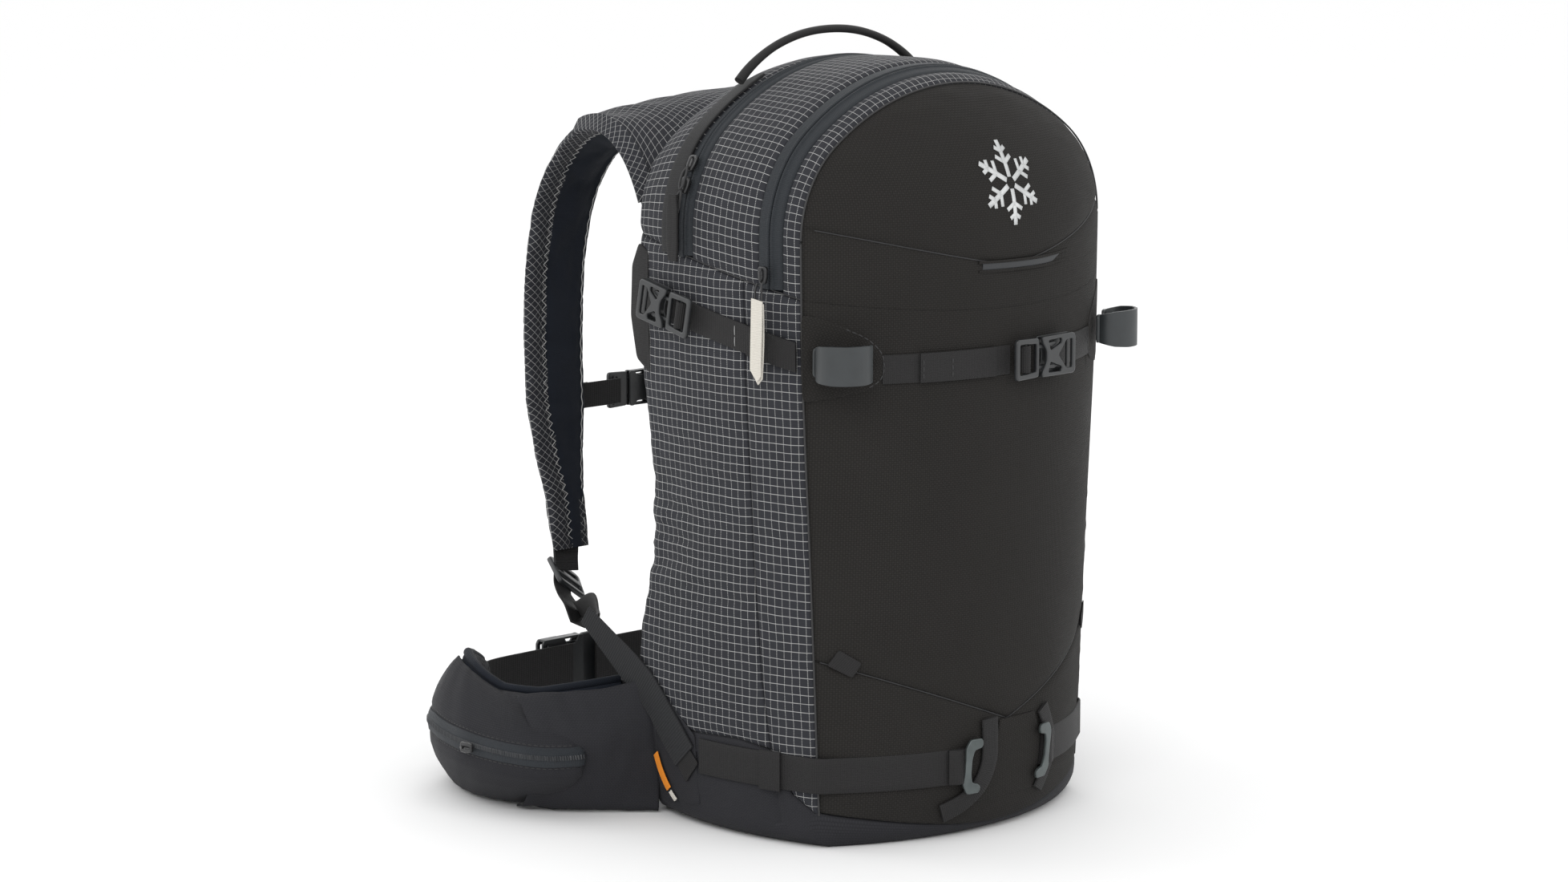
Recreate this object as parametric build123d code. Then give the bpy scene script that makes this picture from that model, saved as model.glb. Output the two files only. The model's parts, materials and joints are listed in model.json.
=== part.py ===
"""Ski backpack with a clamshell lid, a tool pocket, a harness and a pocketed hip belt.

Millimetres, +Z up. The origin is on the floor under the middle of the whole pack.
-Y is the outer face of the pack, +Y is the wearer's side, and +X is the wearer's right.
"""

from build123d import *
import math
import os

# ---------------------------------------------------------------- driving dimensions
HALF_WIDTH = 157.0  # widest half width of the bag, at mid height
TOP_Z = 533.0  # flat top of the side profile
ARCH_SHOULDER_R = 90.0  # small radius of the arched outline seen from the front
ARCH_TOP_R = 200.0  # large radius over the top of the arch
ARCH_CENTRE_X = HALF_WIDTH - ARCH_SHOULDER_R
ARCH_SPLIT = math.acos(ARCH_CENTRE_X / (ARCH_TOP_R - ARCH_SHOULDER_R))  # turn on the small radius
ARCH_TOP_CENTRE_Z = TOP_Z - ARCH_TOP_R
ARCH_SPRING_Z = ARCH_TOP_CENTRE_Z + (ARCH_TOP_R - ARCH_SHOULDER_R) * math.sin(ARCH_SPLIT)
FRONT_CURL_R = 113.0  # quarter circle that carries the front panel over to the top
FRONT_CURL_Y = -10.0
BACK_Y = 103.0  # plane of the back panel
SEAM_Y = -64.0  # plane of the seam between the front panel and the sides
POCKET_ZIP_Y = -39.0  # plane of the tool pocket's zip
MAIN_ZIP_Y = 43.0  # plane of the main zip
FABRIC = 2.0  # bag fabric with its lining
GAP = 0.5  # clearance between bodies that part at a zip
HINGE_Y, HINGE_Z = -121.5, 369.0  # fold line of the lids, on the front panel
HINGE_SLOPE = 0.205  # rise of the fold seam from front to back
WEBBING = 1.6  # thickness of webbing
LIFT = 0.4  # clearance of anything sewn or laid on the bag

# z: half widths at the front seam, the middle and the rear corner, then y of front and corner
STATIONS = [
    (0.0, 126.0, 143.0, 130.0, -101.0, 80.0),
    (30.0, 130.0, 147.0, 138.0, -113.0, 93.0),
    (130.0, 138.0, 150.0, 144.0, -120.0, 98.0),
    (205.0, 142.0, 150.0, 142.0, -121.0, 76.0),
    (330.0, 149.0, 156.0, 147.0, -121.0, 90.0),
    (440.0, 152.0, HALF_WIDTH, 148.0, -121.0, 92.0),
    (580.0, 152.0, HALF_WIDTH, 148.0, -121.0, 92.0),
]


# ---------------------------------------------------------------- helpers
def xz_plane(y):
    """Plane whose local axes are row X and Z; extruding by +d goes to y - d."""
    return Plane(origin=(0, y, 0), x_dir=(1, 0, 0), z_dir=(0, -1, 0))


def yz_plane(x):
    """Plane whose local axes are row Y and Z; extruding by +d goes to x + d."""
    return Plane(origin=(x, 0, 0), x_dir=(0, 1, 0), z_dir=(1, 0, 0))


def xy_plane(z):
    return Plane(origin=(0, 0, z), x_dir=(1, 0, 0), z_dir=(0, 0, 1))


def closed_face(plane, edges):
    """A face on a plane, bounded by edges drawn in its local axes."""
    return make_face([plane.location * edge for edge in edges])


def raised(plane, edges, amount):
    """A prism from closed edges on a plane, always towards the plane's normal."""
    return extrude(closed_face(plane, edges), amount=amount, dir=plane.z_dir)


def outline_edges(points):
    return Polyline(*points, close=True).edges()


def front_prism(points, y0, y1):
    """A prism along Y of an (x, z) outline."""
    return raised(xz_plane(y1), outline_edges(points), y1 - y0)


def side_prism(points, x0, x1):
    """A prism along X of a (y, z) outline."""
    return raised(yz_plane(x0), outline_edges(points), x1 - x0)


def block(x0, x1, y0, y1, z0, z1):
    size = (x1 - x0, y1 - y0, z1 - z0)
    return Pos((x0 + x1) / 2, (y0 + y1) / 2, (z0 + z1) / 2) * Box(*size)


def offset_points(points, distance):
    """Points moved sideways, to the left of the way the list runs."""
    moved = []
    for i, (a, b) in enumerate(points):
        before = points[max(i - 1, 0)]
        after = points[min(i + 1, len(points) - 1)]
        da, db = after[0] - before[0], after[1] - before[1]
        size = math.hypot(da, db)
        moved.append((a - db / size * distance, b + da / size * distance))
    return moved


def band(plane, points, thickness, amount):
    """A smooth strip of even thickness along a curve, raised along the plane's normal."""
    left = offset_points(points, thickness / 2)
    right = offset_points(points, -thickness / 2)
    edges = [
        Spline(*left),
        Line(left[-1], right[-1]),
        Spline(*right),
        Line(left[0], right[0]),
    ]
    return raised(plane, edges, amount)


def spline_loop(sides):
    """Smooth sides, each a list of points, joined end to end."""
    return [Spline(*s) if len(s) > 2 else Line(*s) for s in sides]


def mirrored(part):
    return mirror(part, about=Plane.YZ)


def both_sides(part):
    """A left piece and its mirror image on the right, as one node of two solids."""
    return Compound(children=[*part.solids(), *mirrored(part).solids()])


def single(part):
    """The largest solid of a cut, without slivers."""
    return max(part.solids(), key=lambda s: s.volume)


# ---------------------------------------------------------------- the bag's outer form
def station_face(z, seam_x, mid_x, corner_x, front_y, corner_y, grow):
    """The bag's outline at one height, moved outwards by grow."""
    seam = (seam_x + grow, SEAM_Y - 2 - grow / 2)
    corner = (corner_x + grow, corner_y + grow / 2)
    back_x, back_y = 112.0 + grow / 2, BACK_Y + grow
    edges = [
        ThreePointArc((-seam[0], seam[1]), (0, front_y - grow), seam),
        ThreePointArc(seam, (mid_x + grow, 15), corner),
        Line(corner, (back_x, back_y)),
        Line((back_x, back_y), (-back_x, back_y)),
        Line((-back_x, back_y), (-corner[0], corner[1])),
        ThreePointArc((-corner[0], corner[1]), (-mid_x - grow, 15), (-seam[0], seam[1])),
    ]
    return closed_face(xy_plane(z), edges)


def arch_prism(grow):
    """The arched outline seen from the front, as a long prism along Y."""
    side_x = HALF_WIDTH + grow
    small, large = ARCH_SHOULDER_R + grow, ARCH_TOP_R + grow

    def on_small(angle):
        return (ARCH_CENTRE_X + small * math.cos(angle), ARCH_SPRING_Z + small * math.sin(angle))

    right = [(side_x, ARCH_SPRING_Z), on_small(ARCH_SPLIT / 2), on_small(ARCH_SPLIT)]
    left = [(-x, z) for x, z in right]
    wide, low = side_x + 40, -40
    edges = [
        Line((-wide, low), (wide, low)),
        Line((wide, low), (wide, ARCH_SPRING_Z)),
        Line((wide, ARCH_SPRING_Z), right[0]),
        ThreePointArc(*right),
        ThreePointArc(right[2], (0, ARCH_TOP_CENTRE_Z + large), left[2]),
        ThreePointArc(*reversed(left)),
        Line(left[0], (-wide, ARCH_SPRING_Z)),
        Line((-wide, ARCH_SPRING_Z), (-wide, low)),
    ]
    return raised(xz_plane(300), edges, 600)


def profile_prism(grow):
    """The side profile of the top, curling to the front and to the back."""
    curl, centre_z = FRONT_CURL_R + grow, TOP_Z - FRONT_CURL_R
    back_r = 82 + grow
    back_turn = math.radians(47)
    back_centre = (MAIN_ZIP_Y, TOP_Z - 82)
    diagonal = curl / math.sqrt(2)

    def on_back(angle):
        return (
            back_centre[0] + back_r * math.sin(angle),
            back_centre[1] + back_r * math.cos(angle),
        )

    front_low = (FRONT_CURL_Y - curl, centre_z)
    edges = [
        ThreePointArc(
            front_low,
            (FRONT_CURL_Y - diagonal, centre_z + diagonal),
            (FRONT_CURL_Y, TOP_Z + grow),
        ),
        Line((FRONT_CURL_Y, TOP_Z + grow), (MAIN_ZIP_Y, TOP_Z + grow)),
        ThreePointArc(on_back(0), on_back(back_turn / 2), on_back(back_turn)),
        Line(on_back(back_turn), (160, on_back(back_turn)[1])),
        Line((160, on_back(back_turn)[1]), (160, -40)),
        Line((160, -40), (-170, -40)),
        Line((-170, -40), (-170, centre_z)),
        Line((-170, centre_z), front_low),
    ]
    return raised(yz_plane(-300), edges, 600)


FORMS = {}


def form(grow):
    """The whole bag as one solid, its surface moved outwards by grow."""
    if grow not in FORMS:
        faces = []
        for z, *sizes in STATIONS:
            height = z - min(grow, 0) if z == 0 else z
            faces.append(station_face(height, *sizes, grow))
        FORMS[grow] = loft(faces, ruled=True) & arch_prism(grow) & profile_prism(grow)
    return FORMS[grow]


def skin(inner, outer, region):
    """A layer of the bag's surface between two offsets, within a region."""
    return (form(outer) & region) - form(inner)


def fold_z(y):
    """Height of the fold seam at a depth."""
    return HINGE_Z + HINGE_SLOPE * (y - HINGE_Y)


def above_fold(y0, y1, gap=GAP):
    points = [(y0, fold_z(y0) + gap), (y1, fold_z(y1) + gap), (y1, 700), (y0, 700)]
    return side_prism(points, -250, 250)


def below_fold(y0, y1):
    points = [(y0, -60), (y1, -60), (y1, fold_z(y1)), (y0, fold_z(y0))]
    return side_prism(points, -250, 250)


# ---------------------------------------------------------------- the bag
def base_panel():
    return skin(-FABRIC, 0, block(-200, 200, -150, 150, -5, 18))


def lower_bag():
    """The main compartment's tub: sides and back, up to the fold seam."""
    region = below_fold(SEAM_Y + 0.2, MAIN_ZIP_Y) & block(-250, 250, -200, 200, 18.2, 600)
    rear = block(-250, 250, MAIN_ZIP_Y, 200, 18.2, fold_z(MAIN_ZIP_Y))
    return skin(-FABRIC, 0, region + rear)


def rear_collar():
    """The part of the top behind the main zip, which the harness is sewn to."""
    return skin(-FABRIC, 0, block(-250, 250, MAIN_ZIP_Y + GAP, 200, fold_z(MAIN_ZIP_Y) + 0.2, 600))


def front_panel():
    region = below_fold(-200, SEAM_Y) & block(-250, 250, -200, 200, 18.2, 600)
    return skin(-FABRIC, 0, region)


def pocket_divider():
    """The wall between the main compartment and the tool pocket, below the fold."""
    y0 = POCKET_ZIP_Y - FABRIC
    region = below_fold(y0, POCKET_ZIP_Y) & block(-250, 250, -200, 200, 18.4, 600)
    return form(-FABRIC - 0.3) & region


def lid_panel():
    """The hood between the two zips, with the tool pocket's back wall across it."""
    hood = skin(-FABRIC, 0, above_fold(POCKET_ZIP_Y, MAIN_ZIP_Y - GAP))
    wall = form(-FABRIC / 2) & above_fold(POCKET_ZIP_Y, POCKET_ZIP_Y + FABRIC)
    return hood + wall


def flap_panel():
    """The upper front panel with its strip of side fabric, which opens the tool pocket."""
    return skin(-FABRIC, 0, above_fold(-200, POCKET_ZIP_Y - GAP))


def zip_tape(y0, y1, low):
    """Half of a zip: a tape along the arch with its row of teeth."""
    height = 0.9
    return single(skin(0.05, height, above_fold(y0, y1, gap=low)))


def main_zip_rear_tape():
    return skin(0.05, 0.9, block(-250, 250, MAIN_ZIP_Y + GAP, MAIN_ZIP_Y + 8, 405, 600))


def main_zip_front_tape():
    return zip_tape(MAIN_ZIP_Y - 8, MAIN_ZIP_Y - GAP, 3)


def pocket_zip_rear_tape():
    return zip_tape(POCKET_ZIP_Y, POCKET_ZIP_Y + 10, 3)


def pocket_zip_front_tape():
    return zip_tape(POCKET_ZIP_Y - 10, POCKET_ZIP_Y - GAP, 3)


def accessory_pocket_zip():
    """The slit pocket on the front panel, right of the middle, above the strap."""
    return skin(0.05, 1.2, block(-28, 60, -200, 0, 396, 406))


def back_panel():
    """Moulded foam back pad with a central channel and cross grooves."""
    pad = block(-108, 108, BACK_Y + 0.3, BACK_Y + 15, 128, 488)
    pad = fillet(pad.edges().filter_by(Axis.Y), 28)
    pad = chamfer(pad.faces().sort_by(Axis.Y)[-1].edges(), 5)
    pad -= block(-11, 11, BACK_Y + 8, BACK_Y + 30, 100, 500)
    for z in (216, 306, 396):
        pad -= block(-120, 120, BACK_Y + 9, BACK_Y + 30, z - 5, z + 5)
    return pad


def lumbar_pad():
    pad = block(-92, 92, BACK_Y + 0.3, BACK_Y + 22, 14, 118)
    pad = fillet(pad.edges().filter_by(Axis.Y), 24)
    return chamfer(pad.faces().sort_by(Axis.Y)[-1].edges(), 6)


def frame_sheet():
    """Stiff plastic sheet inside the back of the main compartment."""
    sheet = block(-100, 100, BACK_Y - 5, BACK_Y - 3.4, 30, 480)
    return fillet(sheet.edges().filter_by(Axis.Y), 35)


def frame_stay():
    """Flat aluminium bar down the middle of the frame sheet."""
    bar = block(-9, 9, BACK_Y - 8.4, BACK_Y - 5.2, 40, 470)
    return fillet(bar.edges().filter_by(Axis.Y), 8.5)


def hydration_sleeve():
    """Flat inner sleeve hanging in front of the frame sheet."""
    outer = block(-85, 85, BACK_Y - 24, BACK_Y - 9, 120, 430)
    inner = block(-83.5, 83.5, BACK_Y - 22.5, BACK_Y - 10.5, 121.5, 440)
    return outer - inner


# ---------------------------------------------------------------- straps on the bag
SIDE_STRAP_Z = 364.0  # centre height of the side compression strap at the main zip plane
SIDE_STRAP_HALF = 10.0
FRONT_STRAP = (323.0, 343.0)
LOWER_STRAP = (40.0, 65.0)


def side_strap_region(y0, y1, half):
    """A slanted band along the bag's side, following the fold seam's slope."""

    def centre(y):
        return SIDE_STRAP_Z + HINGE_SLOPE * (y - MAIN_ZIP_Y)

    points = [
        (y0, centre(y0) - half),
        (y1, centre(y1) - half),
        (y1, centre(y1) + half),
        (y0, centre(y0) + half),
    ]
    return side_prism(points, -250, 0)


def compression_straps():
    """Side straps: a short sewn rear end under each buckle and a long front run."""
    strap = skin(LIFT, LIFT + WEBBING, side_strap_region(-60, 84, SIDE_STRAP_HALF))
    return both_sides(single(strap))


def front_strap():
    """The strap across the front, split under its buckle."""
    left = skin(LIFT, LIFT + WEBBING, block(-101, -2, -200, 0, *FRONT_STRAP))
    right = skin(LIFT, LIFT + WEBBING, block(40, 102, -200, -66, *FRONT_STRAP))
    return Compound(children=[single(left), single(right)])


def loop_patches():
    """Tapered patches on the front panel that carry the ski loops."""
    outline = [(-160, 309), (-108, 319), (-103, 325), (-103, 345), (-108, 352), (-160, 376)]
    region = front_prism(outline, -150, SEAM_Y - 3)
    return both_sides(single(skin(LIFT, LIFT + 1.4, region)))


def lower_straps():
    """Wide straps low on the bag, each ending in a hook at the front."""
    low, high = LOWER_STRAP
    region = block(-200, -38, -150, 35.5, low, high)
    return both_sides(single(skin(LIFT, LIFT + WEBBING, region)))


def gear_tabs():
    """Small webbing tabs on the lower front seam."""
    outline = [(-137, 128), (-123, 122), (-118, 136), (-132, 142)]
    return both_sides(single(skin(LIFT, LIFT + 2.4, front_prism(outline, -150, -40))))


def pick_pocket():
    """Reinforced sleeve low on the middle of the front for tool picks."""
    outline = [(-8, 80), (30, 80), (37.5, 60), (37, 24), (-40, 24), (-14, 45)]
    return single(skin(LIFT, LIFT + 1.6, front_prism(outline, -180, -60)))


def pick_loops():
    """Two curved webbing strips over the pick pocket that the hooks clip into."""
    left = [(-28, 82), (-14, 82), (-13, 54), (-22, 34), (-44, 21), (-60, 21), (-34, 38), (-26, 54)]
    right = [(30, 82), (40, 82), (56, 62), (56, 44), (44, 21), (32, 21), (44, 44), (44, 60)]
    strips = [
        single(skin(LIFT + 2.1, LIFT + 3.9, front_prism(points, -180, -60)))
        for points in (left, right)
    ]
    return Compound(children=strips)


# ---------------------------------------------------------------- buckles
PRONG_SHARE = 0.34  # prong thickness as a share of the buckle's


def buckle_socket(width, length, thick):
    """Female half, local frame: mouth at x = 0.4 facing -x, lying on z = 0."""
    body = Pos(length / 2 + 0.4, 0, thick / 2) * Box(length, width, thick)
    body = fillet(body.edges().filter_by(Axis.Z), 3)
    depth = length * 0.62
    cavity = Pos(depth / 2, 0, thick / 2) * Box(depth, width - 5, thick - 3)
    side_window = Pos(depth * 0.55, 0, thick / 2) * Box(depth * 0.4, width + 2, thick - 3)
    slot = Pos(length - 4.4, 0, thick / 2) * Box(4.2, width - 7, thick + 2)
    return body - cavity - side_window - slot


def buckle_clip(width, length, reach, thick):
    """Male half, local frame: adjuster frame behind x = 0, prongs ahead of it."""
    frame = Pos(-length / 2, 0, thick / 2) * Box(length, width, thick)
    frame = fillet(frame.edges().filter_by(Axis.Z), 3)
    for share in (0.27, 0.72):
        frame -= Pos(-length * share, 0, thick / 2) * Box(length * 0.27, width - 8, thick + 2)
    prong_thick = thick * PRONG_SHARE
    centre = Pos(reach / 2 - 0.5, 0, thick / 2) * Box(reach + 1, 4, prong_thick)
    clip = frame + centre
    for side in (-1, 1):
        y = side * (width / 2 - 5.6)
        clip += Pos(reach / 2 - 0.5, y, thick / 2) * Box(reach + 1, 4.2, prong_thick)
    return clip


def on_surface(origin, along, out):
    """A location whose local x runs along the strap and local z points off the bag."""
    return Plane(origin=origin, x_dir=along, z_dir=out).location


FRONT_BUCKLE_X = 16.0
SIDE_BUCKLE_Y = 52.0


def side_buckle_location():
    """On the left side strap; local x points to the rear, where the socket is sewn."""
    z = SIDE_STRAP_Z + HINGE_SLOPE * (SIDE_BUCKLE_Y - MAIN_ZIP_Y)
    along = Vector(0.075, 1, HINGE_SLOPE).normalized()
    out = Vector(-1, 0.075, 0).normalized()
    x = -(154.6 + LIFT + WEBBING + 1.9)
    return on_surface((x, SIDE_BUCKLE_Y, z), along, out)


def front_buckle_location():
    """On the front strap; local x points to the wearer's right."""
    tilt = math.radians(4)
    y = HINGE_Y - LIFT - WEBBING - 1.6
    along = (math.cos(tilt), math.sin(tilt), 0)
    out = (math.sin(tilt), -math.cos(tilt), 0)
    return on_surface((FRONT_BUCKLE_X, y, sum(FRONT_STRAP) / 2), along, out)


def side_buckle_sockets():
    return both_sides(side_buckle_location() * buckle_socket(28, 30, 8))


def side_buckle_clip():
    return side_buckle_location() * buckle_clip(28, 24, 17, 8)


def front_buckle_socket():
    return front_buckle_location() * buckle_socket(28, 38, 8)


def front_buckle_clip():
    return front_buckle_location() * buckle_clip(28, 26, 21, 8)


# ---------------------------------------------------------------- ski loops and hooks
LOOP_CENTRE = (-128.0, -85.0)
LOOP_OUT = (-0.556, -0.831)  # off the front panel at the left patch


def ski_loop():
    """D-shaped rubber loop standing off the left patch, open upwards for a ski's tail."""
    along = Vector(-LOOP_OUT[1], LOOP_OUT[0], 0)
    base = Plane(origin=(LOOP_CENTRE[0], LOOP_CENTRE[1], 320), x_dir=along, z_dir=(0, 0, 1))

    def d_prism(reach, half, near):
        edges = [
            Line((-half, -near), (half, -near)),
            Line((half, -near), (half, -near - reach * 0.45)),
            ThreePointArc((half, -near - reach * 0.45), (0, -near - reach), (-half, -near - reach * 0.45)),
            Line((-half, -near - reach * 0.45), (-half, -near)),
        ]
        return raised(base, edges, 27)

    return d_prism(27, 25, 3.2) - d_prism(22, 22.4, 5.6)


def g_hook():
    """Flat metal hook at the end of the left lower strap."""
    outer = [(-39, 33), (-29, 33), (-29, 40), (-35, 42), (-36, 63), (-29, 65), (-29, 72), (-39, 72)]
    outer += [(-43, 64), (-43, 41)]
    return single(skin(LIFT + 4.4, LIFT + 7.0, front_prism(outer, -180, -60)))


# ---------------------------------------------------------------- zip sliders and pulls
SLIDER_X = -(HALF_WIDTH + 2.4)  # inner face of a slider on the left side
SLIDER_THICK = 4.5
LOWER_SLIDER_TURN = 19.5  # degrees up the arch from its spring line
UPPER_SLIDER_TURN = 29.5


def slider(y, z):
    """Zip slider lying on the left side."""
    body = block(SLIDER_X - SLIDER_THICK, SLIDER_X, y - 4, y + 4, z - 6, z + 6)
    return fillet(body.edges().filter_by(Axis.X), 2)


def main_slider(turn):
    """Main zip slider, carried up the arch by an angle."""
    centre = (-ARCH_CENTRE_X, MAIN_ZIP_Y, ARCH_SPRING_Z)
    return slider(MAIN_ZIP_Y, ARCH_SPRING_Z).rotate(Axis(centre, (0, 1, 0)), turn)


def main_pull():
    """Webbing pull hanging from the lower slider."""
    x = SLIDER_X - SLIDER_THICK - 0.6
    return block(x - 1.8, x, MAIN_ZIP_Y - 5, MAIN_ZIP_Y + 5, 399, 447)


def pocket_slider():
    return slider(POCKET_ZIP_Y, 397)


def pocket_pull():
    x = SLIDER_X - SLIDER_THICK - 0.6
    return block(x - 2.2, x, POCKET_ZIP_Y - 5, POCKET_ZIP_Y + 5, 324, 393)


# ---------------------------------------------------------------- handle
def haul_handle():
    """Rolled webbing handle standing over the top, sewn down behind the main zip."""
    y, half, foot_z = MAIN_ZIP_Y + 13, 84.0, 523.0
    path = [(-half, foot_z), (-64, 537), (-34, 548), (0, 551.5), (34, 548), (64, 537), (half, foot_z)]
    return band(xz_plane(y + 5), path, 6, 10)


# ---------------------------------------------------------------- harness
PAD_THICK = 12.0
PAD_PATH = [
    (112, 512),
    (132, 508),
    (155, 501),
    (180, 489),
    (206, 471),
    (230, 447),
    (249, 418),
    (264, 380),
    (273, 330),
    (273, 272),
    (268, 231),
    (262, 200),
    (254, 164),
]


def shoulder_pad():
    """Left padded strap: a curved band from the yoke down to the adjuster."""
    strip = band(yz_plane(-170), PAD_PATH, PAD_THICK, 150)
    outer = [(-148, 530), (-140, 505), (-118, 486), (-101, 455), (-97, 400), (-97, 330), (-97, 272)]
    outer += [(-90, 231), (-80, 200), (-78, 150)]
    inner = [(-45, 150), (-46, 200), (-41, 263), (-40, 330), (-39, 455), (-30, 530)]
    sides = [outer, [outer[-1], inner[0]], inner, [inner[-1], outer[0]]]
    return single(strip & raised(xz_plane(400), spline_loop(sides), 400))


ADJUSTER_CENTRE = (-61.0, 246.0, 141.0)
ADJUSTER_ALONG = Vector(0.82, 0.0, -0.57).normalized()
ADJUSTER_PULL = Vector(-0.35, -0.79, -0.50).normalized()


def adjuster():
    """Ladder-lock adjuster under the left strap."""
    normal = ADJUSTER_ALONG.cross(ADJUSTER_PULL)
    plane = Plane(origin=ADJUSTER_CENTRE, x_dir=ADJUSTER_ALONG, z_dir=normal)
    body = fillet(Box(36, 26, 4).edges().filter_by(Axis.Z), 4)
    body -= Pos(0, -6.5, 0) * Box(27, 5, 6)
    body -= Pos(0, 5.5, 0) * Box(27, 7, 6)
    return plane.location * body


def adjuster_webbing():
    """Webbing from the adjuster down to the gusset at the bag's lower corner."""
    start = Vector(*ADJUSTER_CENTRE) + ADJUSTER_PULL * 15.5
    end = Vector(-142, 150, 128)
    run = end - start
    side = Vector(0, 0, 1).cross(run).normalized()
    plane = Plane(origin=start + run * 0.5, x_dir=run.normalized(), z_dir=side)
    return both_sides(plane.location * Box(run.length, 20, 1.8))


STERNUM_Z = 268.0
STERNUM_Y = (281.0, 285.2)
STERNUM_WEB_Y = (283.2, 285.0)


def sternum_strap(x0, x1, clip_x0, clip_x1):
    """Rail clip on a pad with the webbing that runs to the buckle."""
    clip = block(clip_x0, clip_x1, *STERNUM_Y, STERNUM_Z - 11, STERNUM_Z + 11)
    return clip + block(x0, x1, *STERNUM_WEB_Y, STERNUM_Z - 10, STERNUM_Z + 10)


def sternum_strap_left():
    return sternum_strap(-58, 8, -80, -56)


def sternum_strap_right():
    return sternum_strap(44, 58, 56, 80)


def sternum_location():
    return on_surface((20, 286.6, STERNUM_Z), (1, 0, 0), (0, 1, 0))


def sternum_socket():
    return sternum_location() * buckle_socket(27, 30, 8)


def sternum_clip():
    return sternum_location() * buckle_clip(27, 20, 17, 8)


# ---------------------------------------------------------------- hip belt
WING_ROOT_PATH = [(-93.5, 133), (-110, 134.5), (-126, 138.5)]
WING_PATH = [(-129, 139.5), (-158, 156), (-178, 190), (-180, 228), (-160, 268), (-122, 298)]
WING_THICK = 14.0
WING_LOW = 2.0
WING_TOP = [(90, 92), (140, 88), (190, 78), (240, 84), (300, 70), (330, 60)]  # (y, z)
POUCH_STATIONS = [(2, 0.72), (22, 0.93), (45, 1.0), (66, 0.86), (82, 0.5)]  # (z, share of bulge)
POUCH_BULGE = [(-193, 112), (-222, 132), (-236, 178), (-228, 230), (-196, 276)]
HIP_WEB_Z = (33.0, 71.0)
HIP_Y = 318.0


def wing_band(path):
    """A padded strip standing on its lower edge, cut to the wing's top line."""
    strip = band(xy_plane(WING_LOW), path, WING_THICK, 110)
    above = side_prism(WING_TOP + [(330, 120), (90, 120)], -260, 0)
    return single(strip - above)


def hip_belt_roots():
    """The inner ends of the wings, sewn behind the lumbar pad."""
    return both_sides(wing_band(WING_ROOT_PATH))


def hip_wing():
    """Left padded wing, curving forward round the hip."""
    return wing_band(WING_PATH)


def pouch_face(z, bulge):
    """Plan outline of the pouch: the wing's outer face closed by a bulging curve."""
    inner = offset_points(WING_PATH, WING_THICK / 2 + 0.4)[1:]
    outer = [inner[0]]
    for x, y in POUCH_BULGE:
        near = min(inner, key=lambda p: (p[0] - x) ** 2 + (p[1] - y) ** 2)
        outer.append((near[0] + (x - near[0]) * bulge, near[1] + (y - near[1]) * bulge))
    outer.append(inner[-1])
    return closed_face(xy_plane(z), [Spline(*outer), Spline(*reversed(inner))])


def hip_pouch():
    """Zipped pouch on the wing's outer face."""
    return single(loft([pouch_face(z, bulge) for z, bulge in POUCH_STATIONS], ruled=True))


def hip_slider():
    """Slider of the pouch's zip, which travels round the pouch's bulge."""
    x, y = -243.5, 178
    return fillet(block(x, x + 4.5, y - 6, y + 6, 46, 54).edges().filter_by(Axis.X), 2)


def hip_webbing():
    """Left half of the waist webbing, from the wing's end to the buckle."""
    path = [(-124, 306), (-96, 317), (-60, HIP_Y + 1), (-20, HIP_Y + 1)]
    low, high = HIP_WEB_Z
    return band(xy_plane(low), path, 2.0, high - low)


def hip_location():
    return on_surface((2, HIP_Y + 3.4, sum(HIP_WEB_Z) / 2), (-1, 0, 0), (0, 1, 0))


def hip_socket():
    return hip_location() * buckle_socket(48, 42, 10)


def hip_clip():
    return hip_location() * buckle_clip(48, 30, 24, 10)


# ---------------------------------------------------------------- gussets
def side_gussets():
    """Fabric wings sewn low on each side, with a free corner for the adjuster webbing."""
    sewn = [(36, 68), (70, 84), (91, 100), (91, 30), (60, 14), (36, 22)]
    free = [(86, 96), (124, 132), (150, 142), (154, 128), (124, 94), (100, 85), (86, 85)]
    panel = single(skin(LIFT, LIFT + 2, side_prism(sewn, -250, 0)))
    corner = side_prism(free, -149, -145)
    return both_sides(single(panel + corner))


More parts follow.
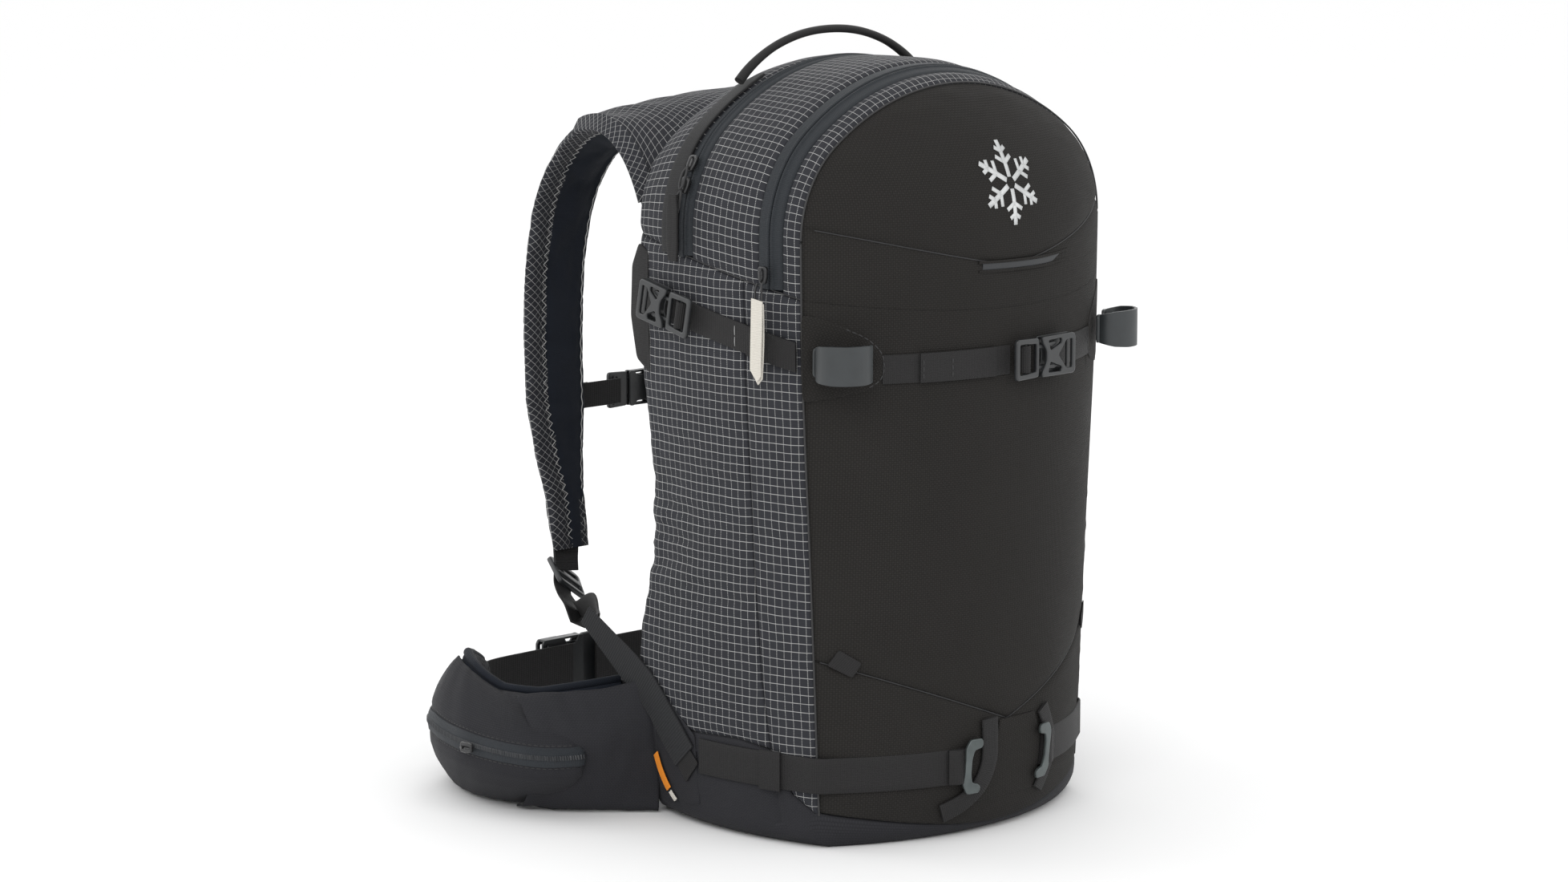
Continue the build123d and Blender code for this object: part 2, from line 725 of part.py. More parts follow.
# ---------------------------------------------------------------- export
def nodes():
    """Every sub-part by the name of its node."""
    clip_left = side_buckle_clip()
    pad, lock, wing, pouch, web = shoulder_pad(), adjuster(), hip_wing(), hip_pouch(), hip_webbing()
    loop, hook = ski_loop(), g_hook()
    return {
        "base_panel": base_panel(),
        "lower_bag": lower_bag(),
        "rear_collar": rear_collar(),
        "front_panel": front_panel(),
        "pocket_divider": pocket_divider(),
        "back_panel": back_panel(),
        "lumbar_pad": lumbar_pad(),
        "frame_sheet": frame_sheet(),
        "frame_stay": frame_stay(),
        "hydration_sleeve": hydration_sleeve(),
        "accessory_pocket_zip": accessory_pocket_zip(),
        "main_zip_rear_tape": main_zip_rear_tape(),
        "main_zip_front_tape": main_zip_front_tape(),
        "pocket_zip_rear_tape": pocket_zip_rear_tape(),
        "pocket_zip_front_tape": pocket_zip_front_tape(),
        "lid_panel": lid_panel(),
        "flap_panel": flap_panel(),
        "main_slider_upper": main_slider(UPPER_SLIDER_TURN),
        "main_slider_lower": main_slider(LOWER_SLIDER_TURN),
        "main_pull": main_pull(),
        "pocket_slider": pocket_slider(),
        "pocket_pull": pocket_pull(),
        "haul_handle": haul_handle(),
        "compression_straps": compression_straps(),
        "side_buckle_sockets": side_buckle_sockets(),
        "side_buckle_clip_left": clip_left,
        "side_buckle_clip_right": mirrored(clip_left),
        "front_strap": front_strap(),
        "front_buckle_socket": front_buckle_socket(),
        "front_buckle_clip": front_buckle_clip(),
        "loop_patches": loop_patches(),
        "ski_loop_left": loop,
        "ski_loop_right": mirrored(loop),
        "lower_straps": lower_straps(),
        "g_hook_left": hook,
        "g_hook_right": mirrored(hook),
        "pick_pocket": pick_pocket(),
        "pick_loops": pick_loops(),
        "gear_tabs": gear_tabs(),
        "side_gussets": side_gussets(),
        "shoulder_pad_left": pad,
        "shoulder_pad_right": mirrored(pad),
        "adjuster_left": lock,
        "adjuster_right": mirrored(lock),
        "adjuster_webbing": adjuster_webbing(),
        "sternum_strap_left": sternum_strap_left(),
        "sternum_strap_right": sternum_strap_right(),
        "sternum_socket": sternum_socket(),
        "sternum_clip": sternum_clip(),
        "hip_wing_left": wing,
        "hip_wing_right": mirrored(wing),
        "hip_belt_roots": hip_belt_roots(),
        "hip_slider_left": hip_slider(),
        "hip_slider_right": mirrored(hip_slider()),
        "hip_pouch_left": pouch,
        "hip_pouch_right": mirrored(pouch),
        "hip_webbing_left": web,
        "hip_webbing_right": mirrored(web),
        "hip_socket": hip_socket(),
        "hip_clip": hip_clip(),
    }


if __name__ == "__main__":
    os.makedirs("parts", exist_ok=True)
    for name, part in nodes().items():
        export_step(part, f"parts/{name}.step")
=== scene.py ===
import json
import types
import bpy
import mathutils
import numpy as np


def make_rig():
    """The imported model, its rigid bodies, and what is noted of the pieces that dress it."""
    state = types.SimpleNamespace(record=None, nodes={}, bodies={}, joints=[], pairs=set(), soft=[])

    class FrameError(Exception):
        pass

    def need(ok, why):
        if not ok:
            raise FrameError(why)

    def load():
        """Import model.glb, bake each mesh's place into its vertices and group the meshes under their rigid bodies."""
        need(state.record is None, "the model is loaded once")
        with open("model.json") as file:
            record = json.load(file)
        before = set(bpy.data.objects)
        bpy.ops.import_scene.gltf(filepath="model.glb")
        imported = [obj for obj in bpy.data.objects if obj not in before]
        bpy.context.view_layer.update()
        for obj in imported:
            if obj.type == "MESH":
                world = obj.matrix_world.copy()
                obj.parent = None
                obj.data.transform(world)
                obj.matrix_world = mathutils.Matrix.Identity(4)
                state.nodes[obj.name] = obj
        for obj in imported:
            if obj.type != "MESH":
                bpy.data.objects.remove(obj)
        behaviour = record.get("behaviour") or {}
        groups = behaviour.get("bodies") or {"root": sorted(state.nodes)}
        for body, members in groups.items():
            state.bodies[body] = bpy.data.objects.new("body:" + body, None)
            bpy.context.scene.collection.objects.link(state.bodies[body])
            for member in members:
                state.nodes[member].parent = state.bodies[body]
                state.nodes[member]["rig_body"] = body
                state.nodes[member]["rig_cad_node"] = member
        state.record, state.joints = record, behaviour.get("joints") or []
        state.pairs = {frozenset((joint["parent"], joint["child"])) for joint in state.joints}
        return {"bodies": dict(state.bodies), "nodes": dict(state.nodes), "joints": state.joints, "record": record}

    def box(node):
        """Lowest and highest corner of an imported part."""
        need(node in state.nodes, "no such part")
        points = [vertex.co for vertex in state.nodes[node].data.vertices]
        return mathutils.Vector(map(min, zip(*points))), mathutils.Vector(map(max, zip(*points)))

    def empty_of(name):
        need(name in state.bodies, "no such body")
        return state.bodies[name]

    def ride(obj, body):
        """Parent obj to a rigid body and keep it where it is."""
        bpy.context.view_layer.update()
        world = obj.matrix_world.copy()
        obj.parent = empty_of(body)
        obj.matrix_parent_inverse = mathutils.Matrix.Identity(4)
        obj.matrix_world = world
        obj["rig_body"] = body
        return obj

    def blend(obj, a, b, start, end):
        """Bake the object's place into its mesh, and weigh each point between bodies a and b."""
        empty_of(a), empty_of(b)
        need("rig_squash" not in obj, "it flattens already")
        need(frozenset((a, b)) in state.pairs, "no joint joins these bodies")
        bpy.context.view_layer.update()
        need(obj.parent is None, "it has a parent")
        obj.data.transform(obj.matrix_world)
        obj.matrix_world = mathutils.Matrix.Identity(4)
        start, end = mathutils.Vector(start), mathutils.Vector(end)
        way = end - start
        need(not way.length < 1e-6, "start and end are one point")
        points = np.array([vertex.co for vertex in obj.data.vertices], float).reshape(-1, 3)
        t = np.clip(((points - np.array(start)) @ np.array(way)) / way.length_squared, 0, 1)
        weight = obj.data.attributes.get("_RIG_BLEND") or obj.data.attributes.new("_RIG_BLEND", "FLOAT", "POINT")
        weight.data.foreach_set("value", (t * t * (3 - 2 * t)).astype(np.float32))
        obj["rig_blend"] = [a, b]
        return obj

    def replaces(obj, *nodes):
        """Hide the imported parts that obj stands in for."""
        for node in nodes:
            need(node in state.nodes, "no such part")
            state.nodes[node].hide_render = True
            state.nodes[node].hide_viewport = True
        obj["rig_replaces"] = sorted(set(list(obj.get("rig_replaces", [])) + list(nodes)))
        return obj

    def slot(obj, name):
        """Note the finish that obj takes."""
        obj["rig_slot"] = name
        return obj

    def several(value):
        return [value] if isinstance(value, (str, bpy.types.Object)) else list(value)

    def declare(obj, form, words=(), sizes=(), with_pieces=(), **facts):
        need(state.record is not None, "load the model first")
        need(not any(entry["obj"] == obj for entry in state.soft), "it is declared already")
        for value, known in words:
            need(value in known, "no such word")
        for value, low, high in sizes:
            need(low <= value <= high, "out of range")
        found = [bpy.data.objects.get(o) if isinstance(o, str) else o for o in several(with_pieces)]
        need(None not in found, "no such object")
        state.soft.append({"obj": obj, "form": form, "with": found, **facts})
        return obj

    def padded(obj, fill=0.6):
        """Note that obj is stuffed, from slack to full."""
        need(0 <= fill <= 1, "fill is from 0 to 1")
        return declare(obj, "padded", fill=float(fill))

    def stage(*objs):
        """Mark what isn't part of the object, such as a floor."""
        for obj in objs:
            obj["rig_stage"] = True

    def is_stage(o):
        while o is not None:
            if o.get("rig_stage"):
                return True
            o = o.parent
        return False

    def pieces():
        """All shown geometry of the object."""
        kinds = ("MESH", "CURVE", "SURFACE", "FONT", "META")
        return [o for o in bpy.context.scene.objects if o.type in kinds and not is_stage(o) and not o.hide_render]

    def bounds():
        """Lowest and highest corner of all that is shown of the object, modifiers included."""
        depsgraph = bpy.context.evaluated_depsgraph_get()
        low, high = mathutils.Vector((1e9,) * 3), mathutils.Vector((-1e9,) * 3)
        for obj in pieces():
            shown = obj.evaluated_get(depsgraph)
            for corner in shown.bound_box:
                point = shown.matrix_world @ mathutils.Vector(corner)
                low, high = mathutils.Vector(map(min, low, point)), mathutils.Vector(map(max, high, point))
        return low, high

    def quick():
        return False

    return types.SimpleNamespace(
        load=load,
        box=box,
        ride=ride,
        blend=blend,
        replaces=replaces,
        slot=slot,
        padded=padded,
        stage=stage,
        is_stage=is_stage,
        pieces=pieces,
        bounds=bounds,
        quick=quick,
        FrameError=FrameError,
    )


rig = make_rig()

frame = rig.load()
cad_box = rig.bounds()

import json
import math
import random

import bmesh
import bpy
import numpy as np
from mathutils import Matrix, Vector, noise

# ------------------------------------------------------------------ sizes, in millimetres
MM = 0.001
random.seed(7)

SEAM_Y, MID_Y = -64.0, 15.0
BACK_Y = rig.box("lower_bag")[1].y / MM
TOP_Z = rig.box("lid_panel")[1].z / MM
HALF_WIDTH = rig.box("lid_panel")[1].x / MM
POCKET_ZIP_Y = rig.box("lid_panel")[0].y / MM
MAIN_ZIP_Y = 43.0
BACK_X = 112.0  # half width of the flat of the back
SHOULDER_R, OVER_R = 90.0, 200.0  # the arch's two radii
FRONT_CURL_R, FRONT_CURL_Y = 113.0, -10.0
BACK_CURL_R, BACK_CURL_Y = 82.0, 43.0
FOOT_R = 13.0  # rounding of the bottom edge
HINGE_Y, HINGE_Z, HINGE_SLOPE = -121.5, 369.0, 0.205
GRID = 6.0  # pitch of the ripstop's pale threads

# height: half width at the front seam, in the middle, at the rear corner; y of front and corner
STATIONS = [
    (0.0, 131.0, 145.0, 134.0, -107.0, 84.0),
    (30.0, 133.0, 147.0, 138.0, -113.0, 93.0),
    (130.0, 138.0, 150.0, 144.0, -120.0, 98.0),
    (205.0, 142.0, 150.0, 142.0, -121.0, 76.0),
    (330.0, 149.0, 156.0, 147.0, -121.0, 90.0),
    (440.0, 151.0, HALF_WIDTH, 148.0, -120.0, 92.0),
    (600.0, 151.0, HALF_WIDTH, 148.0, -120.0, 92.0),
]


def smooth_columns(rows):
    """Each column of a table as a smooth curve over its first column, at every millimetre."""
    heights = np.array([row[0] for row in rows])
    fine = np.arange(heights[0], heights[-1] + 1.0)
    columns = []
    for k in range(1, len(rows[0])):
        values = np.array([row[k] for row in rows])
        slopes = np.gradient(values, heights)
        i = np.clip(np.searchsorted(heights, fine, side="right") - 1, 0, len(heights) - 2)
        span = heights[i + 1] - heights[i]
        t = (fine - heights[i]) / span
        rise = values[i + 1] - values[i]
        curve = values[i] + rise * (3 * t**2 - 2 * t**3)
        curve += span * slopes[i] * (t**3 - 2 * t**2 + t)
        curve += span * slopes[i + 1] * (t**3 - t**2)
        columns.append(curve)
    return fine, columns


HEIGHTS, (SEAM_X, MID_X, CORNER_X, FRONT_Y, CORNER_Y) = smooth_columns(STATIONS)


def at(column, z):
    return np.interp(z, HEIGHTS, column)


ARCH_X = HALF_WIDTH - SHOULDER_R
ARCH_SPLIT = math.acos(ARCH_X / (OVER_R - SHOULDER_R))
SPRING = TOP_Z - OVER_R + (OVER_R - SHOULDER_R) * math.sin(ARCH_SPLIT)
SHOULDER_ARC = SHOULDER_R * ARCH_SPLIT
OVER_ARC = OVER_R * (math.pi / 2 - ARCH_SPLIT) * 2
ARCH_LENGTH = 2 * SHOULDER_ARC + OVER_ARC
OUTLINE = 2 * SPRING + ARCH_LENGTH


def arch_unit(along):
    """The arch from left to right: x as a share of the half width, height as a share of its rise."""
    s = np.clip(along, 0, ARCH_LENGTH)
    half = np.where(s > ARCH_LENGTH / 2, ARCH_LENGTH - s, s)
    low = half / SHOULDER_R
    high = ARCH_SPLIT + (half - SHOULDER_ARC) / OVER_R
    small = half < SHOULDER_ARC
    x = np.where(small, ARCH_X + SHOULDER_R * np.cos(low), OVER_R * np.cos(high))
    over = TOP_Z - OVER_R - SPRING + OVER_R * np.sin(high)
    z = np.where(small, SHOULDER_R * np.sin(low), over)
    side = np.where(s > ARCH_LENGTH / 2, 1.0, -1.0)
    return side * x / HALF_WIDTH, z / (TOP_Z - SPRING)


def top_z(y):
    """Height over the top's middle line at a depth."""
    front = SPRING - 0.3 + np.sqrt(np.clip(FRONT_CURL_R**2 - (y - FRONT_CURL_Y) ** 2, 0, None))
    back_drop = BACK_CURL_R - np.sqrt(np.clip(BACK_CURL_R**2 - (y - BACK_CURL_Y) ** 2, 0, None))
    return np.where(y < FRONT_CURL_Y, front, np.where(y > BACK_CURL_Y, TOP_Z - back_drop, TOP_Z))


def foot_inset(z):
    z = np.clip(z, 0, FOOT_R)
    return FOOT_R - np.sqrt(FOOT_R**2 - (FOOT_R - z) ** 2)


def band(q, v):
    """Points of the side and top shell.

    q runs up the left side, over the arch and down the right. v runs from the front seam, 0,
    to the rear corner, 1, and round onto the back, 2.
    """
    q, v = np.broadcast_arrays(np.asarray(q, float), np.asarray(v, float))
    z_side = np.clip(np.where(q > OUTLINE / 2, OUTLINE - q, q), 0, SPRING)
    seam, mid, corner = at(SEAM_X, z_side), at(MID_X, z_side), at(CORNER_X, z_side)
    corner_y = at(CORNER_Y, z_side)
    turn = np.clip(v - 1, 0, 1) * math.pi / 2
    y = SEAM_Y + np.clip(v, None, 1) * (corner_y - SEAM_Y)
    side = seam * (y - MID_Y) * (y - corner_y) / ((SEAM_Y - MID_Y) * (SEAM_Y - corner_y))
    side += mid * (y - SEAM_Y) * (y - corner_y) / ((MID_Y - SEAM_Y) * (MID_Y - corner_y))
    side += corner * (y - SEAM_Y) * (y - MID_Y) / ((corner_y - SEAM_Y) * (corner_y - MID_Y))
    width = np.where(v <= 1, side, BACK_X + (corner - BACK_X) * np.cos(turn))
    y = y + (BACK_Y - corner_y) * np.sin(turn)
    unit_x, unit_z = arch_unit(q - SPRING)
    x = unit_x * (width - foot_inset(z_side))
    z = np.where(
        (q > SPRING) & (q < OUTLINE - SPRING), SPRING + unit_z * (top_z(y) - SPRING), z_side
    )
    return np.stack([x, y, z], axis=-1)


def band_normal(q, v):
    up = band(np.asarray(q) + 0.5, v) - band(np.asarray(q) - 0.5, v)
    back = band(q, np.asarray(v) + 0.004) - band(q, np.asarray(v) - 0.004)
    n = np.cross(up, back)
    return n / np.linalg.norm(n, axis=-1, keepdims=True)


def depth_share(q, y):
    """v of a depth y on the side shell."""
    z = np.clip(np.where(np.asarray(q) > OUTLINE / 2, OUTLINE - q, q), 0, SPRING)
    corner_y = at(CORNER_Y, z)
    y = np.asarray(y, float)
    round_share = np.arcsin(np.clip((y - corner_y) / (BACK_Y - corner_y), 0, 1)) / (math.pi / 2)
    return np.where(y <= corner_y, (y - SEAM_Y) / (corner_y - SEAM_Y), 1 + round_share)


# the front panel's arched edge, as a radius by direction from the middle of its spring line
_edge = band(SPRING + np.linspace(0, ARCH_LENGTH, 181), 0.0)
EDGE_W = float(_edge[0][0]) * -1
EDGE_H = float(_edge[90][2]) - SPRING
_turns = np.arctan2((_edge[:, 2] - SPRING) / EDGE_H, _edge[:, 0] / EDGE_W)
_radii = np.hypot(_edge[:, 0] / EDGE_W, (_edge[:, 2] - SPRING) / EDGE_H)
EDGE_TURNS, EDGE_RADII = _turns[::-1], _radii[::-1]
CROWN = 2.2  # how full the front panel's bulge is


def front_y(x, z):
    """Depth of the front panel at a place seen from the front."""
    x, z = np.broadcast_arrays(np.asarray(x, float), np.asarray(z, float))
    low_z = np.clip(z, 0, SPRING)
    low_share = np.abs(x) / (at(SEAM_X, low_z) - foot_inset(low_z))
    across, up = x / EDGE_W, np.clip(z - SPRING, 0, None) / EDGE_H
    reach = np.interp(np.arctan2(up, across), EDGE_TURNS, EDGE_RADII)
    share = np.where(z > SPRING, np.hypot(across, up) / reach, low_share)
    bulge = SEAM_Y - at(FRONT_Y, low_z) - foot_inset(low_z) * 0.8
    return SEAM_Y - bulge * (1 - np.clip(share, 0, 1) ** CROWN)


def front(x, z):
    x, z = np.broadcast_arrays(np.asarray(x, float), np.asarray(z, float))
    return np.stack([x, front_y(x, z), z], axis=-1)


def front_normal(x, z):
    across = front(np.asarray(x) + 0.5, z) - front(np.asarray(x) - 0.5, z)
    up = front(x, np.asarray(z) + 0.5) - front(x, np.asarray(z) - 0.5)
    n = np.cross(across, up)
    return n / np.linalg.norm(n, axis=-1, keepdims=True)


# ------------------------------------------------------------------ materials
class Shader:
    """A material on one Principled shader, with short ways to add nodes."""

    def __init__(self, name):
        self.material = bpy.data.materials.new(name)
        self.material.use_nodes = True
        self.tree = self.material.node_tree
        self.tree.nodes.clear()
        self.out = self.tree.nodes.new("ShaderNodeOutputMaterial")
        self.bsdf = self.tree.nodes.new("ShaderNodeBsdfPrincipled")
        self.tree.links.new(self.bsdf.outputs[0], self.out.inputs[0])

    def put(self, socket, value):
        if isinstance(value, bpy.types.NodeSocket):
            self.tree.links.new(value, socket)
        elif value is not None:
            socket.default_value = value

    def set(self, **values):
        for name, value in values.items():
            self.put(self.bsdf.inputs[name.replace("_", " ")], value)

    def math(self, operation, a, b=None, c=None):
        node = self.tree.nodes.new("ShaderNodeMath")
        node.operation = operation
        for socket, value in zip(node.inputs, (a, b, c)):
            self.put(socket, value)
        return node.outputs[0]

    def mix(self, share, a, b):
        node = self.tree.nodes.new("ShaderNodeMix")
        node.data_type = "RGBA"
        self.put(node.inputs[0], share)
        self.put(node.inputs[6], a if isinstance(a, bpy.types.NodeSocket) else (*a, 1))
        self.put(node.inputs[7], b if isinstance(b, bpy.types.NodeSocket) else (*b, 1))
        return node.outputs[2]

    def ramp(self, value, low, high, to_low=0.0, to_high=1.0):
        node = self.tree.nodes.new("ShaderNodeMapRange")
        for socket, number in zip(node.inputs, (value, low, high, to_low, to_high)):
            self.put(socket, number)
        return node.outputs[0]

    def weave(self):
        """The piece's own fabric coordinates in millimetres: across, along."""
        node = self.tree.nodes.new("ShaderNodeAttribute")
        node.attribute_name = "weave"
        parts = self.tree.nodes.new("ShaderNodeSeparateXYZ")
        self.tree.links.new(node.outputs["Vector"], parts.inputs[0])
        return parts.outputs[0], parts.outputs[1]

    def place(self):
        """Place on the object, in metres."""
        return self.tree.nodes.new("ShaderNodeTexCoord").outputs["Object"]

    def noise(self, scale, detail=2.0, rough=0.5, vector=None):
        node = self.tree.nodes.new("ShaderNodeTexNoise")
        self.put(node.inputs["Vector"], vector or self.place())
        self.put(node.inputs["Scale"], scale)
        self.put(node.inputs["Detail"], detail)
        self.put(node.inputs["Roughness"], rough)
        return node.outputs[0]

    def cells(self, scale, vector=None, feature="F1"):
        node = self.tree.nodes.new("ShaderNodeTexVoronoi")
        node.feature = feature
        self.put(node.inputs["Vector"], vector or self.place())
        self.put(node.inputs["Scale"], scale)
        return node.outputs["Distance"]

    def bump(self, height, distance, strength=1.0):
        node = self.tree.nodes.new("ShaderNodeBump")
        self.put(node.inputs["Height"], height)
        node.inputs["Distance"].default_value = distance
        node.inputs["Strength"].default_value = strength
        self.put(self.bsdf.inputs["Normal"], node.outputs[0])

    def wave(self, value, pitch):
        """0 to 1 to 0 over each pitch."""
        turned = self.math("MULTIPLY", value, 2 * math.pi / pitch)
        return self.math("MULTIPLY_ADD", self.math("SINE", turned), 0.5, 0.5)

    def sum(self, *pairs):
        """A weighted sum of (value, weight) pairs."""
        total = 0.0
        for value, weight in pairs:
            total = self.math("MULTIPLY_ADD", value, weight, total)
        return total


def tint(colour, factor):
    return tuple(min(1.0, c * factor) for c in colour)


def woven(name, colour, pitch, depth=0.25, rough=0.7, sheen=0.03, spread=0.35):
    """Basket weave: threads pass over and under in a checker of two directions."""
    s = Shader(name)
    u, v = s.weave()
    cu = s.math("FLOOR", s.math("DIVIDE", u, pitch))
    cv = s.math("FLOOR", s.math("DIVIDE", v, pitch))
    over = s.math("ABSOLUTE", s.math("MODULO", s.math("ADD", cu, cv), 2.0))
    fu = s.math("PINGPONG", s.math("DIVIDE", u, pitch), 0.5)
    fv = s.math("PINGPONG", s.math("DIVIDE", v, pitch), 0.5)
    lie = s.mix(over, (0, 0, 0), (1, 1, 1))
    round_u = s.math("MULTIPLY", fu, 2.0)
    round_v = s.math("MULTIPLY", fv, 2.0)
    thread = s.math("MULTIPLY", s.math("SQRT", round_u), s.math("SQRT", round_v))
    fine = s.noise(900.0, 2.0)
    broad = s.noise(14.0, 3.0)
    shade = s.sum((thread, 0.5), (over, 0.16), (fine, 0.25), (broad, 0.35))
    tone = s.ramp(shade, 0.25, 0.95)
    s.set(Base_Color=s.mix(tone, tint(colour, 1 - spread), tint(colour, 1 + spread)))
    s.set(Roughness=s.ramp(broad, 0.3, 0.7, rough - 0.06, rough + 0.06))
    s.set(Sheen_Weight=sheen, Sheen_Roughness=0.4, Specular_IOR_Level=0.06)
    s.bump(s.sum((thread, 1.0), (fine, 0.3), (lie, 0.15)), depth * MM)
    return s.material


def ripstop(name, colour, pale, turned=False):
    """Charcoal fabric with a pale grid: solid threads one way, dotted the other."""
    s = Shader(name)
    u, v = s.weave()
    if turned:
        u, v = s.math("ADD", u, v), s.math("SUBTRACT", u, v)
    sway = s.ramp(s.noise(22.0, 2.0), 0.3, 0.7, -0.5, 0.5)
    u = s.math("ADD", u, sway)
    v = s.math("ADD", v, sway)
    near_u = s.math("PINGPONG", s.math("DIVIDE", u, GRID), 0.5)
    near_v = s.math("PINGPONG", s.math("DIVIDE", v, GRID), 0.5)
    dots = s.ramp(s.wave(v, 1.2), 0.15, 0.4)
    along = s.ramp(near_v, 0.046, 0.03)
    across = s.math("MULTIPLY", s.ramp(near_u, 0.048, 0.03), dots)
    threads = s.math("MAXIMUM", along, across)
    worn = s.math("MULTIPLY", threads, s.ramp(s.noise(160.0, 3.0), 0.25, 0.5, 0.72, 1.0))
    fine = s.math("MULTIPLY", s.wave(u, 0.75), s.wave(v, 0.75))
    broad = s.noise(16.0, 3.0)
    ground = s.mix(s.sum((fine, 0.6), (broad, 0.5)), tint(colour, 0.72), tint(colour, 1.32))
    s.set(Base_Color=s.mix(worn, ground, pale))
    s.set(Roughness=s.ramp(broad, 0.3, 0.7, 0.6, 0.7), Specular_IOR_Level=0.12)
    s.set(Sheen_Weight=0.02, Sheen_Roughness=0.4)
    s.bump(s.sum((threads, 1.0), (fine, 0.35)), 0.22 * MM)
    return s.material


def ribbed(name, colour, pitch=1.3, rough=0.62, sheen=0.03, spread=0.35):
    """Flat webbing: ribs across its length, crossed by fine long threads."""
    s = Shader(name)
    u, v = s.weave()
    ribs = s.wave(v, pitch)
    threads = s.wave(s.math("MULTIPLY_ADD", ribs, 0.25, u), pitch * 0.8)
    fuzz = s.noise(500.0, 3.0)
    broad = s.noise(30.0, 2.0)
    tone = s.sum((ribs, 0.45), (threads, 0.25), (fuzz, 0.2), (broad, 0.2))
    s.set(Base_Color=s.mix(tone, tint(colour, 1 - spread), tint(colour, 1 + spread)))
    s.set(Roughness=rough, Sheen_Weight=sheen, Sheen_Roughness=0.35, Specular_IOR_Level=0.25)
    s.bump(s.sum((ribs, 1.0), (threads, 0.6), (fuzz, 0.2)), 0.2 * MM)
    return s.material


def moulded(name, colour, rough=0.38, grain=0.05, coat=0.0, metal=0.0):
    """Moulded plastic, rubber or coated metal with a fine grain and scuffs."""
    s = Shader(name)
    grainy = s.noise(1400.0, 2.0)
    scuff = s.noise(60.0, 4.0, 0.65)
    s.set(Base_Color=s.mix(s.ramp(scuff, 0.35, 0.75), tint(colour, 0.85), tint(colour, 1.25)))
    s.set(Roughness=s.ramp(scuff, 0.3, 0.7, rough - 0.06, rough + 0.12))
    s.set(Metallic=metal, Coat_Weight=coat, Coat_Roughness=0.3)
    s.bump(s.sum((grainy, 1.0), (scuff, 0.6)), grain * MM)
    return s.material


def spacer_mesh(name, colour):
    """Open knit over foam: a field of small round holes."""
    s = Shader(name)
    holes = s.ramp(s.cells(330.0), 0.2, 0.45)
    broad = s.noise(18.0, 2.0)
    s.set(Base_Color=s.mix(holes, tint(colour, 0.35), s.mix(broad, tint(colour, 0.8), tint(colour, 1.4))))
    s.set(Roughness=0.85, Sheen_Weight=0.03, Sheen_Roughness=0.5, Specular_IOR_Level=0.15)
    s.bump(holes, 0.5 * MM)
    return s.material


PALE = (0.375, 0.375, 0.372)
BALLISTIC = woven("ballistic_black", (0.021, 0.0198, 0.0186), 1.5, 0.3)
PACKCLOTH = woven("packcloth_black", (0.0255, 0.0256, 0.0288), 1.1, 0.18, rough=0.6)
NAVY = woven("lining_navy", (0.0165, 0.0195, 0.0265), 0.9, 0.12, rough=0.75, sheen=0.03)
RIPSTOP = ripstop("grid_ripstop", (0.027, 0.028, 0.033), PALE)
RIPSTOP_BIAS = ripstop("grid_ripstop_bias", (0.024, 0.025, 0.030), PALE, turned=True)
WEBBING = ribbed("webbing_black", (0.0135, 0.0130, 0.0133))
WEBBING_FINE = ribbed("webbing_fine", (0.0165, 0.0165, 0.017), 0.9, rough=0.7, sheen=0.05, spread=0.2)
TAPE = ribbed("zip_tape", (0.021, 0.0245, 0.029), 0.9, rough=0.6)
COIL = moulded("zip_coil", (0.016, 0.018, 0.021), 0.42)
PULL = ribbed("pull_offwhite", (0.62, 0.59, 0.53), 1.15, rough=0.8, sheen=0.05, spread=0.14)
THREAD = moulded("thread_black", (0.02, 0.02, 0.021), 0.6)
PALE_THREAD = moulded("thread_grey", (0.22, 0.22, 0.22), 0.6)
NAVY_RIM = woven("rim_navy", (0.013, 0.0155, 0.021), 1.0, 0.15, rough=0.65, sheen=0.05)
GUSSET = ribbed("gusset_webbing", (0.0175, 0.018, 0.0195), 2.0, rough=0.75, sheen=0.05, spread=0.2)
ACETAL = moulded("buckle_plastic", (0.018, 0.0195, 0.021), 0.36, 0.03, coat=0.15)
RUBBER = moulded("loop_rubber", (0.0225, 0.0265, 0.0285), 0.46, 0.05, coat=0.1)
HOOK = moulded("hook_metal", (0.10, 0.115, 0.115), 0.36, 0.02, metal=0.7)
SLIDER = moulded("slider_black", (0.012, 0.012, 0.013), 0.28, 0.01, coat=0.4, metal=0.3)
FOAM = spacer_mesh("back_mesh", (0.03, 0.031, 0.034))
SHEET = moulded("frame_sheet_plastic", (0.5, 0.5, 0.48), 0.45)
STAY = moulded("stay_aluminium", (0.72, 0.72, 0.74), 0.32, 0.01, metal=1.0)
ORANGE = woven("tag_orange", (0.72, 0.24, 0.03), 0.8, 0.1, rough=0.6, spread=0.12)
PRINT = moulded("print_silver", (0.52, 0.53, 0.53), 0.5, 0.03)


# ------------------------------------------------------------------ mesh helpers
def add_mesh(name, points, faces, materials, face_material=None, weave=None, smooth=True):
    """A mesh from points in millimetres, with its fabric coordinates in millimetres."""
    mesh = bpy.data.meshes.new(name)
    mesh.from_pydata((np.asarray(points, float) * MM).tolist(), [], faces)
    for material in materials if isinstance(materials, (list, tuple)) else [materials]:
        mesh.materials.append(material)
    if face_material is not None:
        mesh.polygons.foreach_set("material_index", face_material)
    if weave is not None:
        data = mesh.attributes.new("weave", "FLOAT_VECTOR", "POINT").data
        data.foreach_set("vector", np.asarray(weave, np.float32).ravel())
    mesh.polygons.foreach_set("use_smooth", [smooth] * len(mesh.polygons))
    mesh.update()
    piece = bpy.data.objects.new(name, mesh)
    bpy.context.scene.collection.objects.link(piece)
    return piece


